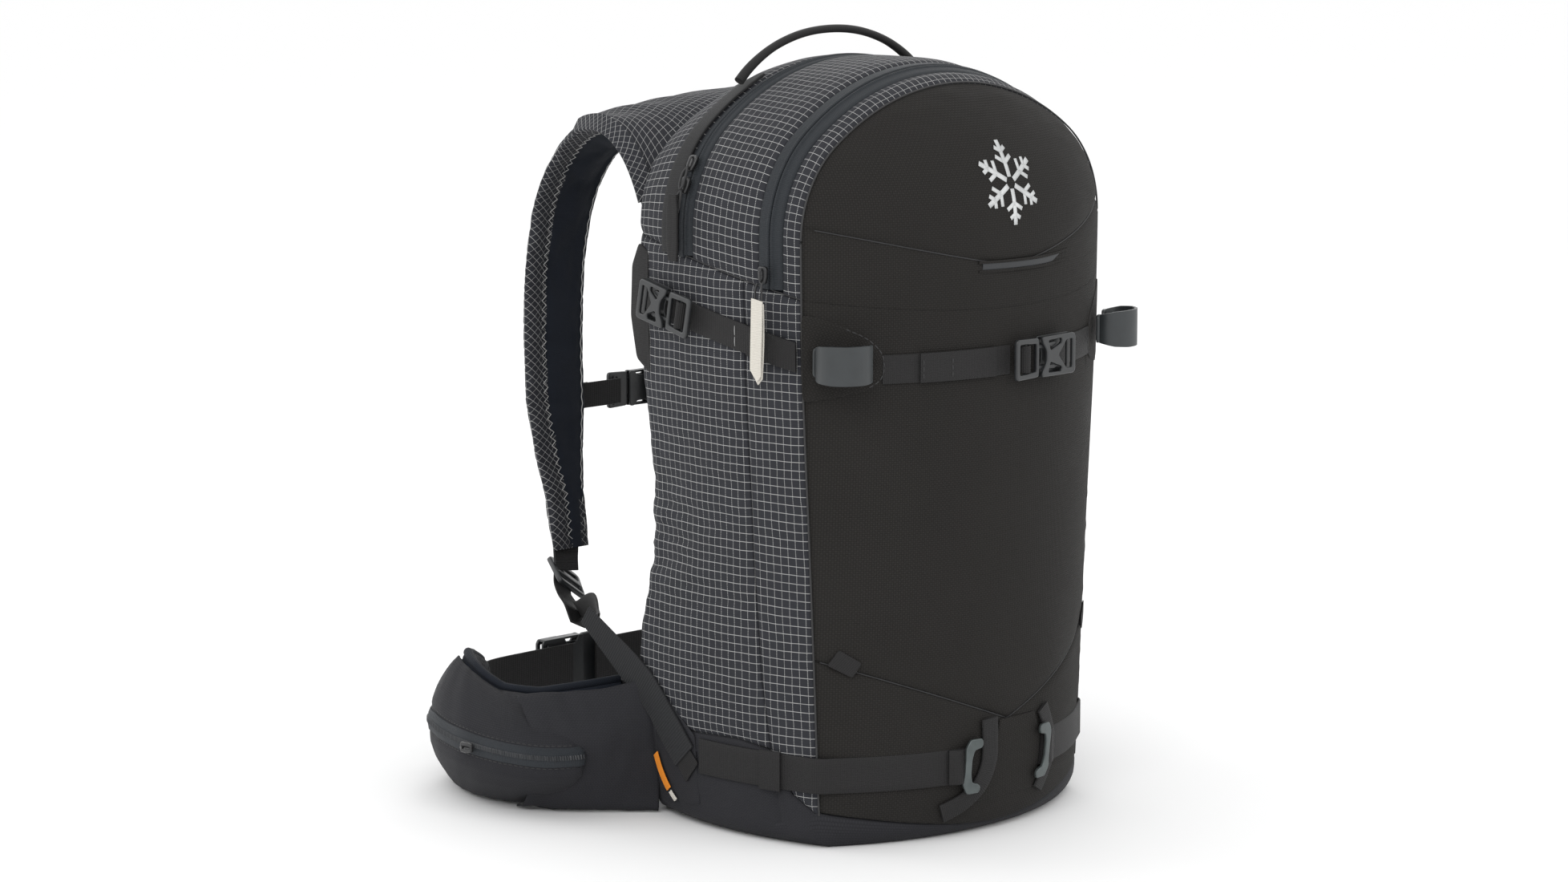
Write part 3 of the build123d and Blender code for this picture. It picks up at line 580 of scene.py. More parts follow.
def grid_faces(rows, cols, closed=False):
    faces = []
    for i in range(rows - 1):
        for j in range(cols if closed else cols - 1):
            k = (j + 1) % cols
            faces.append((i * cols + j, i * cols + k, (i + 1) * cols + k, (i + 1) * cols + j))
    return faces


def grid_normals(points):
    down = np.gradient(points, axis=0)
    right = np.gradient(points, axis=1)
    n = np.cross(right, down)
    return n / np.maximum(np.linalg.norm(n, axis=-1, keepdims=True), 1e-9)


def field(points, scale, seed=0.0):
    """Smooth noise from -1 to 1 over an array of points."""
    flat = points.reshape(-1, 3)
    values = [noise.noise(Vector((p[0] / scale + seed, p[1] / scale, p[2] / scale))) for p in flat]
    return np.array(values).reshape(points.shape[:-1])


def sheet(name, points, weave, material, relief=0.0, thick=1.6, lining=None):
    """A piece of cloth from a grid of points whose normals face outwards, with its lining."""
    rows, cols = points.shape[:2]
    points = points + grid_normals(points) * np.asarray(relief)[..., None]
    coords = np.concatenate([weave, np.zeros((rows, cols, 1))], axis=-1)
    piece = add_mesh(
        name,
        points.reshape(-1, 3),
        grid_faces(rows, cols),
        [material, lining or NAVY],
        weave=coords.reshape(-1, 3),
    )
    if thick:
        solid = piece.modifiers.new("thickness", "SOLIDIFY")
        solid.thickness = thick * MM
        solid.offset = -1
        solid.material_offset = 1
        solid.material_offset_rim = 0
    return piece


def curve_of(rows):
    """A function through a table of two columns."""
    first, second = np.array(rows, float).T
    return lambda value: np.interp(value, first, second)


def fold_z(y):
    return HINGE_Z + HINGE_SLOPE * (np.asarray(y) - HINGE_Y)


def near(value, centre, width):
    """1 at the centre, fading to 0 over a width."""
    return np.exp(-(((np.asarray(value) - centre) / width) ** 2))


def sewn(distance, puff=1.5, edge=9.0, tuck=1.7):
    """Relief beside a seam: pulled in at the seam and full away from it."""
    distance = np.clip(distance, 0, None)
    return puff * (1 - np.exp(-distance / edge)) - tuck * np.exp(-distance / 1.8)


# ------------------------------------------------------------------ seams of the bag
FRONT_STRAP_Z, LOWER_STRAP_Z = 333.0, 52.5
TAPE_REACH = 10.0  # from a pocket zip's line to the edge of its tape
MAIN_TAPE_REACH = 7.5  # from the main zip's line to the edge of the cloth beside it
# The boot seam along the sides, by depth. Between depths -36 and 70 it is raised above the lower strap's top (z 65),
# so the grid-less boot cloth there is a painted shadow of the strap.
boot_edge_and_strap_shadow = curve_of(
    [(-64, 23), (-44, 37), (-36, 56), (-27, 66), (0, 70), (46, 68), (70, 77), (99, 94), (160, 120)]
)
princess_y = curve_of([(20, -34), (66, -28), (114, -22), (200, -17), (365, -15)])


def side_strap_z(y):
    return 364 + HINGE_SLOPE * (np.asarray(y) - MAIN_ZIP_Y)


def v_seam(x):
    return 80 + 0.385 * np.abs(x)


def base_seam(x):
    return 7.5 + 18 * (np.abs(x) / 128) ** 1.6


def smile_seam(x):
    return np.maximum(399.5, 399.5 + 30 * (np.clip(np.abs(x) - 12, 0, None) / 137) ** 1.15)


def front_fold(x):
    """Height of the lids' fold on the front panel."""
    z = np.full(np.shape(x), 372.0)
    for _ in range(4):
        z = fold_z(front_y(x, z))
    return z


def front_share(x, z):
    """0 in the middle of the front panel, 1 at its seam."""
    y = front_y(x, z)
    low_z = np.clip(z, 0, SPRING)
    bulge = SEAM_Y - at(FRONT_Y, low_z) - foot_inset(low_z) * 0.8
    return np.clip(1 - (SEAM_Y - y) / bulge, 0, 1) ** (1 / CROWN)


def front_relief(x, z):
    """How far the front panel's cloth stands off its form."""
    x, z = np.broadcast_arrays(np.asarray(x, float), np.asarray(z, float))
    seam = (1 - front_share(x, z)) * 165
    smile = np.abs(z - smile_seam(x))
    boot = np.abs(z - v_seam(x)) * 0.93
    distance = np.minimum(np.minimum(seam, smile), boot)
    relief = sewn(distance)
    points = front(x, z)
    folds = field(points * np.array([1, 1, 3.4]), 26, 3) * np.exp(-seam / 34)
    folds = folds + 0.55 * field(points, 60, 9)
    relief = relief + folds * np.clip(distance / 12, 0, 1) * 0.9
    strap = near(z, FRONT_STRAP_Z, 15) * (np.abs(x) < 104)
    low_strap = near(z, LOWER_STRAP_Z, 17) * (np.abs(x) > 30)
    pinch = near(z, 396, 9) * near(x, 10, 34)
    return relief - 1.3 * strap - 1.0 * low_strap - 0.6 * pinch


def side_relief(q, v):
    """How far the side's cloth stands off its form."""
    q, v = np.broadcast_arrays(np.asarray(q, float), np.asarray(v, float))
    points = band(q, v)
    y = points[..., 1] + np.where(v > 1, (v - 1) * 34, 0)
    low = np.minimum(q, OUTLINE - q)
    below = low < fold_z(y)
    lines = [y - SEAM_Y, np.abs(low - fold_z(y)) * 0.98]
    lines.append(np.where(below, np.abs(y - princess_y(low)), 99.0))
    lines.append(np.where(below, np.abs(low - boot_edge_and_strap_shadow(y)), 99.0))
    for middle, reach in ((POCKET_ZIP_Y, TAPE_REACH), (MAIN_ZIP_Y, 7.5)):
        lines.append(np.where(below, 99.0, np.abs(y - middle) - reach))
    distance = np.minimum.reduce(lines)
    relief = sewn(distance, 1.3, 7.0, 1.3)
    waist = near(low, 205, 45) * np.clip((y - 5) / 70, 0, 1)
    creases = field(points * np.array([1, 0.55, 2.6]), 30, 5)
    fine = field(points * np.array([1, 0.8, 3.0]), 13, 21)
    amount = np.clip(distance / 9, 0, 1)
    relief = relief + amount * (creases * (0.55 + 1.5 * waist) + fine * (0.12 + 0.9 * waist))
    strap = near(low, side_strap_z(y), 13) * (q < OUTLINE)
    low_strap = near(low, LOWER_STRAP_Z, 16) * (y < 40)
    return relief - 1.5 * strap - 1.0 * low_strap


def side_point(q, v, lift=0.0):
    return band(q, v) + band_normal(q, v) * (side_relief(q, v) + lift)[..., None]


def front_point(x, z, lift=0.0):
    return front(x, z) + front_normal(x, z) * (front_relief(x, z) + lift)[..., None]


# ------------------------------------------------------------------ the bag's panels
def side_panel(name, q_span, y_span, material, counts, tilt=0.0, thick=1.6):
    """A panel of the side and top shell, between two heights and two depths.

    q_span gives q's two ends from a depth, y_span the depths' two ends from q. A depth past the
    corner runs on round it as a length, up to the flat of the back at corner + 40.
    """
    rows, cols = counts
    t, s = np.meshgrid(np.linspace(0, 1, rows), np.linspace(0, 1, cols), indexing="ij")
    q = np.full(t.shape, 200.0)
    for _ in range(5):
        y_low, y_high = y_span(q)
        y = y_low + (y_high - y_low) * t
        q_low, q_high = q_span(y)
        q = q_low + (q_high - q_low) * s
    z = np.clip(np.minimum(q, OUTLINE - q), 0, SPRING)
    corner = at(CORNER_Y, z)
    v = np.where(y <= corner, (y - SEAM_Y) / (corner - SEAM_Y), 1 + (y - corner) / CORNER_RUN)
    v = np.clip(v, 0, 2)
    weave = np.stack([y, q - tilt * y], axis=-1)
    return sheet(name, side_point(q, v), weave, material, thick=thick)


CORNER_RUN = 40.0  # length round the rear corner onto the back


def rear(q):
    z = np.clip(np.minimum(q, OUTLINE - q), 0, SPRING)
    return at(CORNER_Y, z) + CORNER_RUN


def front_mesh(name, x, z, material, thick=1.6, lining=None):
    return sheet(name, front_point(x, z), np.stack([x, z], axis=-1), material, 0.0, thick, lining)


def seam_width(z):
    low = np.clip(z, 0, SPRING)
    return at(SEAM_X, low) - foot_inset(low)


def front_rows(low, high, rows, cols):
    """Front panel places between two heights that depend on x, spread towards the seams."""
    u = np.sin(np.linspace(-1, 1, cols) * math.pi / 2 * 0.86) / math.sin(math.pi / 2 * 0.86)
    t = np.linspace(0, 1, rows)[:, None]
    z = np.full((rows, cols), 200.0)
    for _ in range(5):
        x = u[None, :] * seam_width(z)
        z = low(x) + (high(x) - low(x)) * t
    return x, z


FRONT_COLS = 151
x, z = front_rows(v_seam, front_fold, 170, FRONT_COLS)
front_lower = front_mesh("front_panel_cloth", x, z, BALLISTIC)
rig.replaces(front_lower, "front_panel")
x, z = front_rows(base_seam, v_seam, 60, FRONT_COLS)
front_boot = front_mesh("front_boot_cloth", x, z, BALLISTIC)
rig.ride(front_boot, "root")

x, z = front_rows(front_fold, lambda x: np.full(x.shape, SPRING), 36, FRONT_COLS)
u = x[-1] / seam_width(SPRING)
w = np.linspace(0, 1, 76)[1:, None]
a, b = u * np.sqrt(1 - w**2 / 2), w * np.sqrt(1 - u**2 / 2)
turn = np.arctan2(b, a)
reach = np.interp(turn, EDGE_TURNS, EDGE_RADII)
x = np.concatenate([x, a * reach * EDGE_W])
z = np.concatenate([z, SPRING + b * reach * EDGE_H])
front_upper = front_mesh("front_flap_cloth", x, z, BALLISTIC)
fold_normal = np.array([0.0, -HINGE_SLOPE, 1.0]) * MM
hinge = np.array([0.0, HINGE_Y, HINGE_Z]) * MM
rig.blend(front_lower, "root", "main_lid", start=hinge - fold_normal * 14, end=hinge - fold_normal * 1)
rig.blend(front_upper, "main_lid", "pocket_flap", start=hinge + fold_normal * 1, end=hinge + fold_normal * 14)

side_pieces = []
for side, span in (("left", lambda a, b: (a, b)), ("right", lambda a, b: (OUTLINE - b, OUTLINE - a))):
    strip = side_panel(
        "side_strip_cloth_" + side,
        lambda y, span=span: span(boot_edge_and_strap_shadow(y), fold_z(y)),
        lambda q: (np.full(q.shape, SEAM_Y), princess_y(np.minimum(q, OUTLINE - q))),
        RIPSTOP,
        (26, 190),
    )
    main = side_panel(
        "side_panel_cloth_" + side,
        lambda y, span=span: span(boot_edge_and_strap_shadow(y), fold_z(y)),
        lambda q: (princess_y(np.minimum(q, OUTLINE - q)), rear(q)),
        RIPSTOP,
        (90, 190),
    )
    # The boot cloth reaches up to just above the lower strap, where it stands in as a painted shadow of the strap.
    boot = side_panel(
        "side_boot_cloth_" + side,
        lambda y, span=span: span(0 * y + 6.0, boot_edge_and_strap_shadow(y)),
        lambda q: (np.full(q.shape, SEAM_Y), rear(q)),
        PACKCLOTH,
        (100, 40),
    )
    for piece in (strip, main, boot):
        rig.ride(piece, "root")
        side_pieces.append(piece)
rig.replaces(side_pieces[1], "lower_bag")


def over_top(y0, y1):
    """Spans of a panel that runs over the top from fold to fold."""
    return (
        lambda y: (fold_z(y), OUTLINE - fold_z(y)),
        lambda q: (np.full(q.shape, y0), np.full(q.shape, y1) if np.isscalar(y1) else y1(q)),
    )


hood = side_panel(
    "hood_cloth", *over_top(POCKET_ZIP_Y + TAPE_REACH, MAIN_ZIP_Y - MAIN_TAPE_REACH), RIPSTOP, (44, 330), 0.11
)
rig.replaces(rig.ride(hood, "main_lid"), "lid_panel")
flap_strip = side_panel(
    "flap_strip_cloth", *over_top(SEAM_Y, POCKET_ZIP_Y - TAPE_REACH), RIPSTOP, (14, 330), 0.06
)
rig.replaces(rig.ride(flap_strip, "pocket_flap"), "flap_panel")
collar = side_panel("collar_cloth", *over_top(MAIN_ZIP_Y + MAIN_TAPE_REACH, rear), RIPSTOP, (52, 330))
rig.replaces(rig.ride(collar, "root"), "rear_collar")


# ------------------------------------------------------------------ makers of straps, cords and plates
def attach(piece, body, slot=None, replaces=()):
    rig.ride(piece, body)
    if slot:
        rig.slot(piece, slot)
    if replaces:
        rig.replaces(piece, *replaces)
    return piece


def strap_profile(half, thick, steps=6):
    """Across and lift of a flat strap's section, with rounded edges, as a closed loop."""
    r = min(thick * 0.45, 0.8)
    top = [(-half, thick * 0.45), (-half + r * 0.3, thick - r * 0.3), (-half + r, thick)]
    across = np.linspace(-half + r, half - r, steps)[1:-1]
    top += [(a, thick) for a in across]
    top += [(half - r, thick), (half - r * 0.3, thick - r * 0.3), (half, thick * 0.45)]
    return np.array(top + [(half - 0.3, 0), (-half + 0.3, 0)])


def strap_on(name, place, along, half, material, lift=0.4, thick=1.6, halves=None):
    """A strap lying on a surface: place(along, across, lift) gives its points."""
    along = np.asarray(along, float)
    loop = strap_profile(half, thick)
    scale = np.ones(len(along)) if halves is None else np.asarray(halves) / half
    s = np.repeat(along[:, None], len(loop), axis=1)
    across = scale[:, None] * loop[None, :, 0]
    points = place(s, across, lift + loop[None, :, 1] + 0 * s)
    weave = np.stack([across, s, 0 * s], axis=-1)
    rows, cols = s.shape
    faces = grid_faces(rows, cols, closed=True)
    faces = [f[::-1] for f in faces] + [
        tuple(range(cols)), tuple(range(rows * cols - 1, (rows - 1) * cols - 1, -1))
    ]
    piece = add_mesh(name, points.reshape(-1, 3), faces, material, weave=weave.reshape(-1, 3))
    fix_normals(piece)
    return piece


def fix_normals(piece):
    work = bmesh.new()
    work.from_mesh(piece.data)
    bmesh.ops.recalc_face_normals(work, faces=work.faces)
    work.to_mesh(piece.data)
    work.free()
    smooth_by_angle(piece)


def smooth_by_angle(piece, limit=40):
    """Smooth faces, with the edges sharper than a limit kept crisp."""
    mesh = piece.data
    mesh.polygons.foreach_set("use_smooth", [True] * len(mesh.polygons))
    mesh.set_sharp_from_angle(angle=math.radians(limit))


def path_frames(points, across):
    """Unit across and outward directions along a path, across kept near a given direction."""
    points = np.asarray(points, float)
    ahead = np.gradient(points, axis=0)
    ahead /= np.linalg.norm(ahead, axis=1, keepdims=True)
    across = np.broadcast_to(np.asarray(across, float), points.shape)
    across = across - ahead * (across * ahead).sum(1, keepdims=True)
    across = across / np.linalg.norm(across, axis=1, keepdims=True)
    return across, np.cross(across, ahead)


def smooth_path(points, count):
    """A smooth curve through a few points, evenly spaced."""
    points = np.asarray(points, float)
    knots = np.concatenate([[0], np.cumsum(np.linalg.norm(np.diff(points, axis=0), axis=1))])
    fine = np.linspace(0, knots[-1], count)
    result = np.zeros((count, points.shape[1]))
    slopes = np.gradient(points, knots, axis=0)
    i = np.clip(np.searchsorted(knots, fine, side="right") - 1, 0, len(knots) - 2)
    span = (knots[i + 1] - knots[i])[:, None]
    t = (fine - knots[i])[:, None] / span
    rise = points[i + 1] - points[i]
    result = points[i] + rise * (3 * t**2 - 2 * t**3)
    result += span * slopes[i] * (t**3 - 2 * t**2 + t)
    result += span * slopes[i + 1] * (t**3 - t**2)
    return result


def lengths(points):
    return np.concatenate([[0], np.cumsum(np.linalg.norm(np.diff(points, axis=0), axis=1))])


def ribbon(name, points, across, half, material, thick=1.6, lift=0.0, halves=None, count=60):
    """A free strap along a path; across says which way its width lies."""
    across = np.asarray(across, float)
    path = smooth_path(points, count)
    if across.ndim == 2:
        across = smooth_path(across, count)
    side, out = path_frames(path, across)
    s = lengths(path)
    wide = None if halves is None else np.interp(s / s[-1], np.linspace(0, 1, len(halves)), halves)

    def place(along, offset, height):
        i = np.arange(len(path))[:, None]
        return path[i] + side[i] * offset[..., None] + out[i] * (height - thick / 2)[..., None]

    return strap_on(name, place, s, half, material, lift, thick, wide)


def tube(name, points, radius, material, sides=10, count=None, squash=1.0, across=(0, 0, 1)):
    path = np.asarray(points, float) if count is None else smooth_path(points, count)
    side, out = path_frames(path, across)
    turns = np.linspace(0, 2 * math.pi, sides, endpoint=False)
    radii = np.broadcast_to(radius, (len(path),))
    rings = path[:, None] + radii[:, None, None] * (
        side[:, None] * np.cos(turns)[None, :, None] + out[:, None] * squash * np.sin(turns)[None, :, None]
    )
    s = lengths(path)
    size = float(np.mean(radii))
    weave = np.stack(np.broadcast_arrays(turns[None, :] * size, s[:, None], 0.0), axis=-1)
    rows = len(path)
    faces = grid_faces(rows, sides, closed=True)
    faces += [tuple(range(sides))[::-1], tuple(range((rows - 1) * sides, rows * sides))]
    piece = add_mesh(name, rings.reshape(-1, 3), faces, material, weave=weave.reshape(-1, 3))
    fix_normals(piece)
    return piece


def stitches(name, points, out, material, length=3.2, gap=1.4, width=0.45):
    """A row of stitches along a path, as one mesh of small raised lozenges."""
    points, out = np.asarray(points, float), np.asarray(out, float)
    s = lengths(points)
    verts, faces = [], []
    for start in np.arange(gap, s[-1] - length, length + gap):
        a, b, c = (
            np.array([np.interp(start + d, s, points[:, k]) for k in range(3)])
            for d in (0, length / 2, length)
        )
        up = np.array([np.interp(start + length / 2, s, out[:, k]) for k in range(3)])
        side = np.cross(c - a, up)
        side = side / np.linalg.norm(side) * width
        up = up / np.linalg.norm(up)
        base = len(verts)
        verts += [a, a + side * 0.6 + up * 0.1, a - side * 0.6 + up * 0.1]
        verts += [b + side + up * 0.25, b + up * 0.5, b - side + up * 0.25]
        verts += [c, c + side * 0.6 + up * 0.1, c - side * 0.6 + up * 0.1]
        for f in ((1, 3, 4), (1, 4, 2), (2, 4, 5), (3, 7, 4), (4, 7, 8), (4, 8, 5), (0, 1, 2), (6, 8, 7)):
            faces.append(tuple(base + k for k in f))
    return add_mesh(name, verts, faces, material)


def rounded(points, radius, steps=5):
    """An outline with its corners rounded."""
    points = [np.array(p, float) for p in points]
    result = []
    for i, here in enumerate(points):
        before, after = points[i - 1] - here, points[(i + 1) % len(points)] - here
        lb, la = np.linalg.norm(before), np.linalg.norm(after)
        cut = min(radius, lb * 0.45, la * 0.45)
        start, end = here + before / lb * cut, here + after / la * cut
        for t in np.linspace(0, 1, steps):
            result.append(tuple((1 - t) ** 2 * start + 2 * t * (1 - t) * here + t**2 * end))
    return result


def plate(name, loops, thick, place, material, bevel=0.6):
    """A moulded plate: an outline and its holes, given thickness and soft edges, then placed."""
    curve = bpy.data.curves.new(name, "CURVE")
    curve.dimensions = "2D"
    curve.fill_mode = "BOTH"
    for loop in loops:
        spline = curve.splines.new("POLY")
        spline.points.add(len(loop) - 1)
        for point, (px, py) in zip(spline.points, loop):
            point.co = (px * MM, py * MM, 0, 1)
        spline.use_cyclic_u = True
    curve.extrude = max(thick / 2 - bevel, 0.01) * MM
    curve.bevel_depth = bevel * MM
    curve.bevel_resolution = 2
    curve.offset = -bevel * MM
    holder = bpy.data.objects.new(name + "_line", curve)
    bpy.context.scene.collection.objects.link(holder)
    bpy.context.view_layer.update()
    mesh = bpy.data.meshes.new_from_object(holder.evaluated_get(bpy.context.evaluated_depsgraph_get()))
    bpy.data.objects.remove(holder)
    bpy.data.curves.remove(curve)
    points = np.zeros(len(mesh.vertices) * 3)
    mesh.vertices.foreach_get("co", points)
    points = points.reshape(-1, 3) / MM
    points = place(points)
    mesh.vertices.foreach_set("co", (points * MM).ravel())
    mesh.materials.clear()
    mesh.materials.append(material)
    mesh.update()
    piece = bpy.data.objects.new(name, mesh)
    bpy.context.scene.collection.objects.link(piece)
    smooth_by_angle(piece, 35)
    return piece


def frame_at(origin, along, out, mirror=False):
    """Places local points: x along, z out, y across; mirrored to the right side if asked."""
    origin = np.array(origin, float)
    along = np.array(along, float) / np.linalg.norm(along)
    out = np.array(out, float)
    out = out - along * (out @ along)
    out = out / np.linalg.norm(out)
    across = np.cross(out, along)

    def place(points):
        points = np.asarray(points, float)
        moved = origin + points[..., :1] * along + points[..., 1:2] * across + points[..., 2:3] * out
        return moved * np.array([-1, 1, 1]) if mirror else moved

    return place


def flipped(points, mirror):
    return np.asarray(points, float) * np.array([-1 if mirror else 1, 1, 1])


def mirror_piece(piece, name):
    """A copy on the other side of the bag."""
    mesh = piece.data.copy()
    mesh.name = name
    twin = bpy.data.objects.new(name, mesh)
    bpy.context.scene.collection.objects.link(twin)
    mesh.transform(Matrix.Scale(-1, 4, (1, 0, 0)))
    mesh.flip_normals()
    for modifier in piece.modifiers:
        if modifier.type == "SOLIDIFY":
            copy = twin.modifiers.new("thickness", "SOLIDIFY")
            copy.thickness, copy.offset = modifier.thickness, modifier.offset
            copy.material_offset = modifier.material_offset
            copy.material_offset_rim = modifier.material_offset_rim
    return twin


# ------------------------------------------------------------------ zips of the bag
def zip_half(name, line_y, way, width, body, slot_node, low=None):
    """Half a zip along the arch: a tape with a ribbed bead along the slit."""
    q_low = float(fold_z(line_y)) + 0.8 if low is None else low
    q = np.arange(q_low, OUTLINE - q_low, 0.55)
    across = np.array([0.25, 0.3, 0.8, 1.6, 2.3, 2.9, 3.6, 5.0, width * 0.8, width + 1.0])
    lift = np.array([-1.6, 0.5, 1.1, 1.25, 1.05, 0.45, 0.35, 0.35, 0.25, -0.9])
    bead = np.array([0, 0.5, 1, 1, 1, 0.4, 0, 0, 0, 0])
    teeth = 0.22 * np.sin(q * 2 * math.pi / 1.65)
    grid_q = np.repeat(q[None, :], len(across), axis=0)
    y = line_y + way * across[:, None] + 0 * grid_q
    lifts = lift[:, None] + bead[:, None] * teeth[None, :] - 0.2
    v = depth_share(grid_q, y)
    points = band(grid_q, v) + band_normal(grid_q, v) * lifts[..., None]
    weave = np.stack([across[:, None] + 0 * grid_q, grid_q], axis=-1)
    if way < 0:
        points, weave = points[::-1], weave[::-1]
    piece = sheet(name, points, weave, TAPE, 0.0, 0.8, TAPE)
    return attach(piece, body, "zip_tape", (slot_node,))


zip_half("main_zip_rear_half", MAIN_ZIP_Y, 1, 7.5, "root", "main_zip_rear_tape", 402)
zip_half("main_zip_front_half", MAIN_ZIP_Y, -1, 7.5, "main_lid", "main_zip_front_tape")
zip_half("pocket_zip_rear_half", POCKET_ZIP_Y, 1, TAPE_REACH, "main_lid", "pocket_zip_rear_tape")
zip_half("pocket_zip_front_half", POCKET_ZIP_Y, -1, TAPE_REACH, "pocket_flap", "pocket_zip_front_tape")


# ------------------------------------------------------------------ base and back
def ring(z, side_steps=26, front_steps=61, back_steps=12):
    """The bag's outline at a height, or at a height for each point of it."""
    v = np.linspace(2, 0, side_steps)
    total = 2 * side_steps + front_steps + back_steps
    z = np.broadcast_to(np.asarray(z, float), np.broadcast_shapes(np.shape(z), (1, total)))
    a, b, c = side_steps, side_steps + front_steps, 2 * side_steps + front_steps
    left = band(z[:, :a], v[None, :])
    u = np.sin(np.linspace(-1, 1, front_steps) * math.pi / 2 * 0.86) / math.sin(math.pi / 2 * 0.86)
    middle = front(u[None, :] * seam_width(z[:, a:b]) * 0.999, z[:, a:b])
    right = band(OUTLINE - z[:, b:c], v[None, ::-1])
    t = np.linspace(0, 1, back_steps + 2)[1:-1][None, :, None]
    back = right[:, -1:] * (1 - t) + left[:, :1] * t
    return np.concatenate([left, middle, right, back], axis=1)


tops = np.full((1, 2 * 26 + 61 + 12), 7.0)
u = np.sin(np.linspace(-1, 1, 61) * math.pi / 2 * 0.86) / math.sin(math.pi / 2 * 0.86)
tops[0, 26:87] = base_seam(u * 130)
for k in range(8):
    share = (1 - k / 8) ** 2
    tops[0, 25 - k] = tops[0, 25 - k] * (1 - share) + tops[0, 26] * share
    tops[0, 87 + k] = tops[0, 87 + k] * (1 - share) + tops[0, 86] * share
levels = np.array([1.0, 0.93, 0.8, 0.6, 0.4, 0.24, 0.12, 0.04])
wall = ring(levels[:, None] * tops)
swell = np.array([-1.2, 0.2, 0.8, 0.9, 0.6, 0.2, 0.0, 0.0])
centre = np.array([0, -5, 0])
outwards = wall - centre
outwards[..., 2] = 0
outwards /= np.linalg.norm(outwards, axis=-1, keepdims=True)
wall = wall + outwards * swell[:, None, None]
floor_rows = []
for share in (0.985, 0.95, 0.86, 0.7, 0.5, 0.3, 0.12, 0.02):
    row = (wall[-1] - centre) * np.array([share, share, 0]) + centre
    floor_rows.append(row + np.array([0, 0, 0.15]))
base_points = np.concatenate([wall, np.array(floor_rows)])
base_points = np.concatenate([base_points, base_points[:, :1]], axis=1)
around = np.concatenate([[0], np.cumsum(np.linalg.norm(np.diff(base_points[0], axis=0), axis=1))])
down = np.cumsum(np.concatenate([[0], np.linalg.norm(np.diff(base_points[:, 56], axis=0), axis=1)]))
base_weave = np.stack(np.meshgrid(around, down), axis=-1)
base = sheet("base_cloth", base_points[::-1], base_weave[::-1], PACKCLOTH, 0.0, 1.2)
attach(base, "root", "ballistic", ("base_panel",))

q = np.linspace(7, OUTLINE / 2, 90)
left_edge, right_edge = band(q, 2.0), band(OUTLINE - q, 2.0)
t = np.linspace(0, 1, 30)
back_wall = right_edge[:, None] * (1 - t)[None, :, None] + left_edge[:, None] * t[None, :, None]
back_weave = np.stack([back_wall[..., 0], back_wall[..., 2]], axis=-1)
back_piece = sheet("back_cloth", back_wall, back_weave, PACKCLOTH, 0.0, 1.2)
attach(back_piece, "root", "lining")


# ------------------------------------------------------------------ pieces lying on the front
def front_at(x, z, lift):
    return front(x, z) + front_normal(x, z) * np.asarray(lift)[..., None]


def front_path(path, mirror=False):
    """A place function for a strap along a path of (x, z) on the front."""
    line = smooth_path(path, 80)
    s = lengths(line)
    ahead = np.gradient(line, axis=0)
    ahead /= np.linalg.norm(ahead, axis=1, keepdims=True)

    def place(along, across, lift):
        here = np.stack([np.interp(along, s, line[:, k]) for k in (0, 1)], -1)
        go = np.stack([np.interp(along, s, ahead[:, k]) for k in (0, 1)], -1)
        x, z = here[..., 0] - go[..., 1] * across, here[..., 1] + go[..., 0] * across
        return flipped(front_at(x, z, lift), mirror)

    return place, s


def front_strap_piece(name, path, half, material, body, slot, lift=0.4, thick=1.6, mirror=False):
    place, s = front_path(path, mirror)
    return attach(strap_on(name, place, s, half, material, lift, thick), body, slot)


def fan_patch(name, outline, place, material, thick=1.4, turn=0.0, radius=3.0):
    """A flat patch with a rounded outline laid on a surface; place maps its two axes to points."""
    rim = np.array(rounded(outline, radius, 6))
    dense = []
    for a, b in zip(rim, np.roll(rim, -1, axis=0)):
        steps = max(1, int(np.linalg.norm(b - a) / 3))
        dense += [a + (b - a) * k / steps for k in range(steps)]
    rim = np.array(dense)
    middle = rim.mean(axis=0)
    shares = [1.0, 0.985, 0.93, 0.8, 0.6, 0.4, 0.2]
    drop = [-0.7, -0.15, 0, 0, 0, 0, 0]
    rings = [middle + (rim - middle) * s for s in shares]
    flat = np.concatenate(rings + [middle[None]])
    lift = np.concatenate([np.full(len(rim), d) for d in drop] + [[0.0]])
    points = place(flat[:, 0], flat[:, 1], lift)
    n = len(rim)
    faces = grid_faces(len(shares), n, closed=True)
    last = (len(shares) - 1) * n
    faces += [(last + k, last + (k + 1) % n, len(flat) - 1) for k in range(n)]
    c, s = math.cos(turn), math.sin(turn)
    weave = np.stack([flat[:, 0] * c + flat[:, 1] * s, flat[:, 1] * c - flat[:, 0] * s, lift], -1)
    piece = add_mesh(name, points, faces, [material, material], weave=weave)
    normal = np.mean([p.normal for p in piece.data.polygons], axis=0)
    if normal @ (points.mean(axis=0) - np.array([0, 0, 250]) * 1.0) * np.array(1.0) < 0:
        piece.data.flip_normals()
    solid = piece.modifiers.new("thickness", "SOLIDIFY")
    solid.thickness = thick * MM
    solid.offset = -1
    return piece


def on_front(base):
    return lambda x, z, lift: front_at(x, z, base + lift)


def on_side(base):
    """Places (y, z) on the left side."""
    return lambda y, z, lift: side_at(y, z, base + lift)


def side_at(y, z, lift):
    v = depth_share(z, y)
    return band(z, v) + band_normal(z, v) * np.asarray(lift)[..., None]


def seam_line(name, points, body, radius=0.5):
    return attach(tube(name, points, radius, THREAD, sides=6), body)


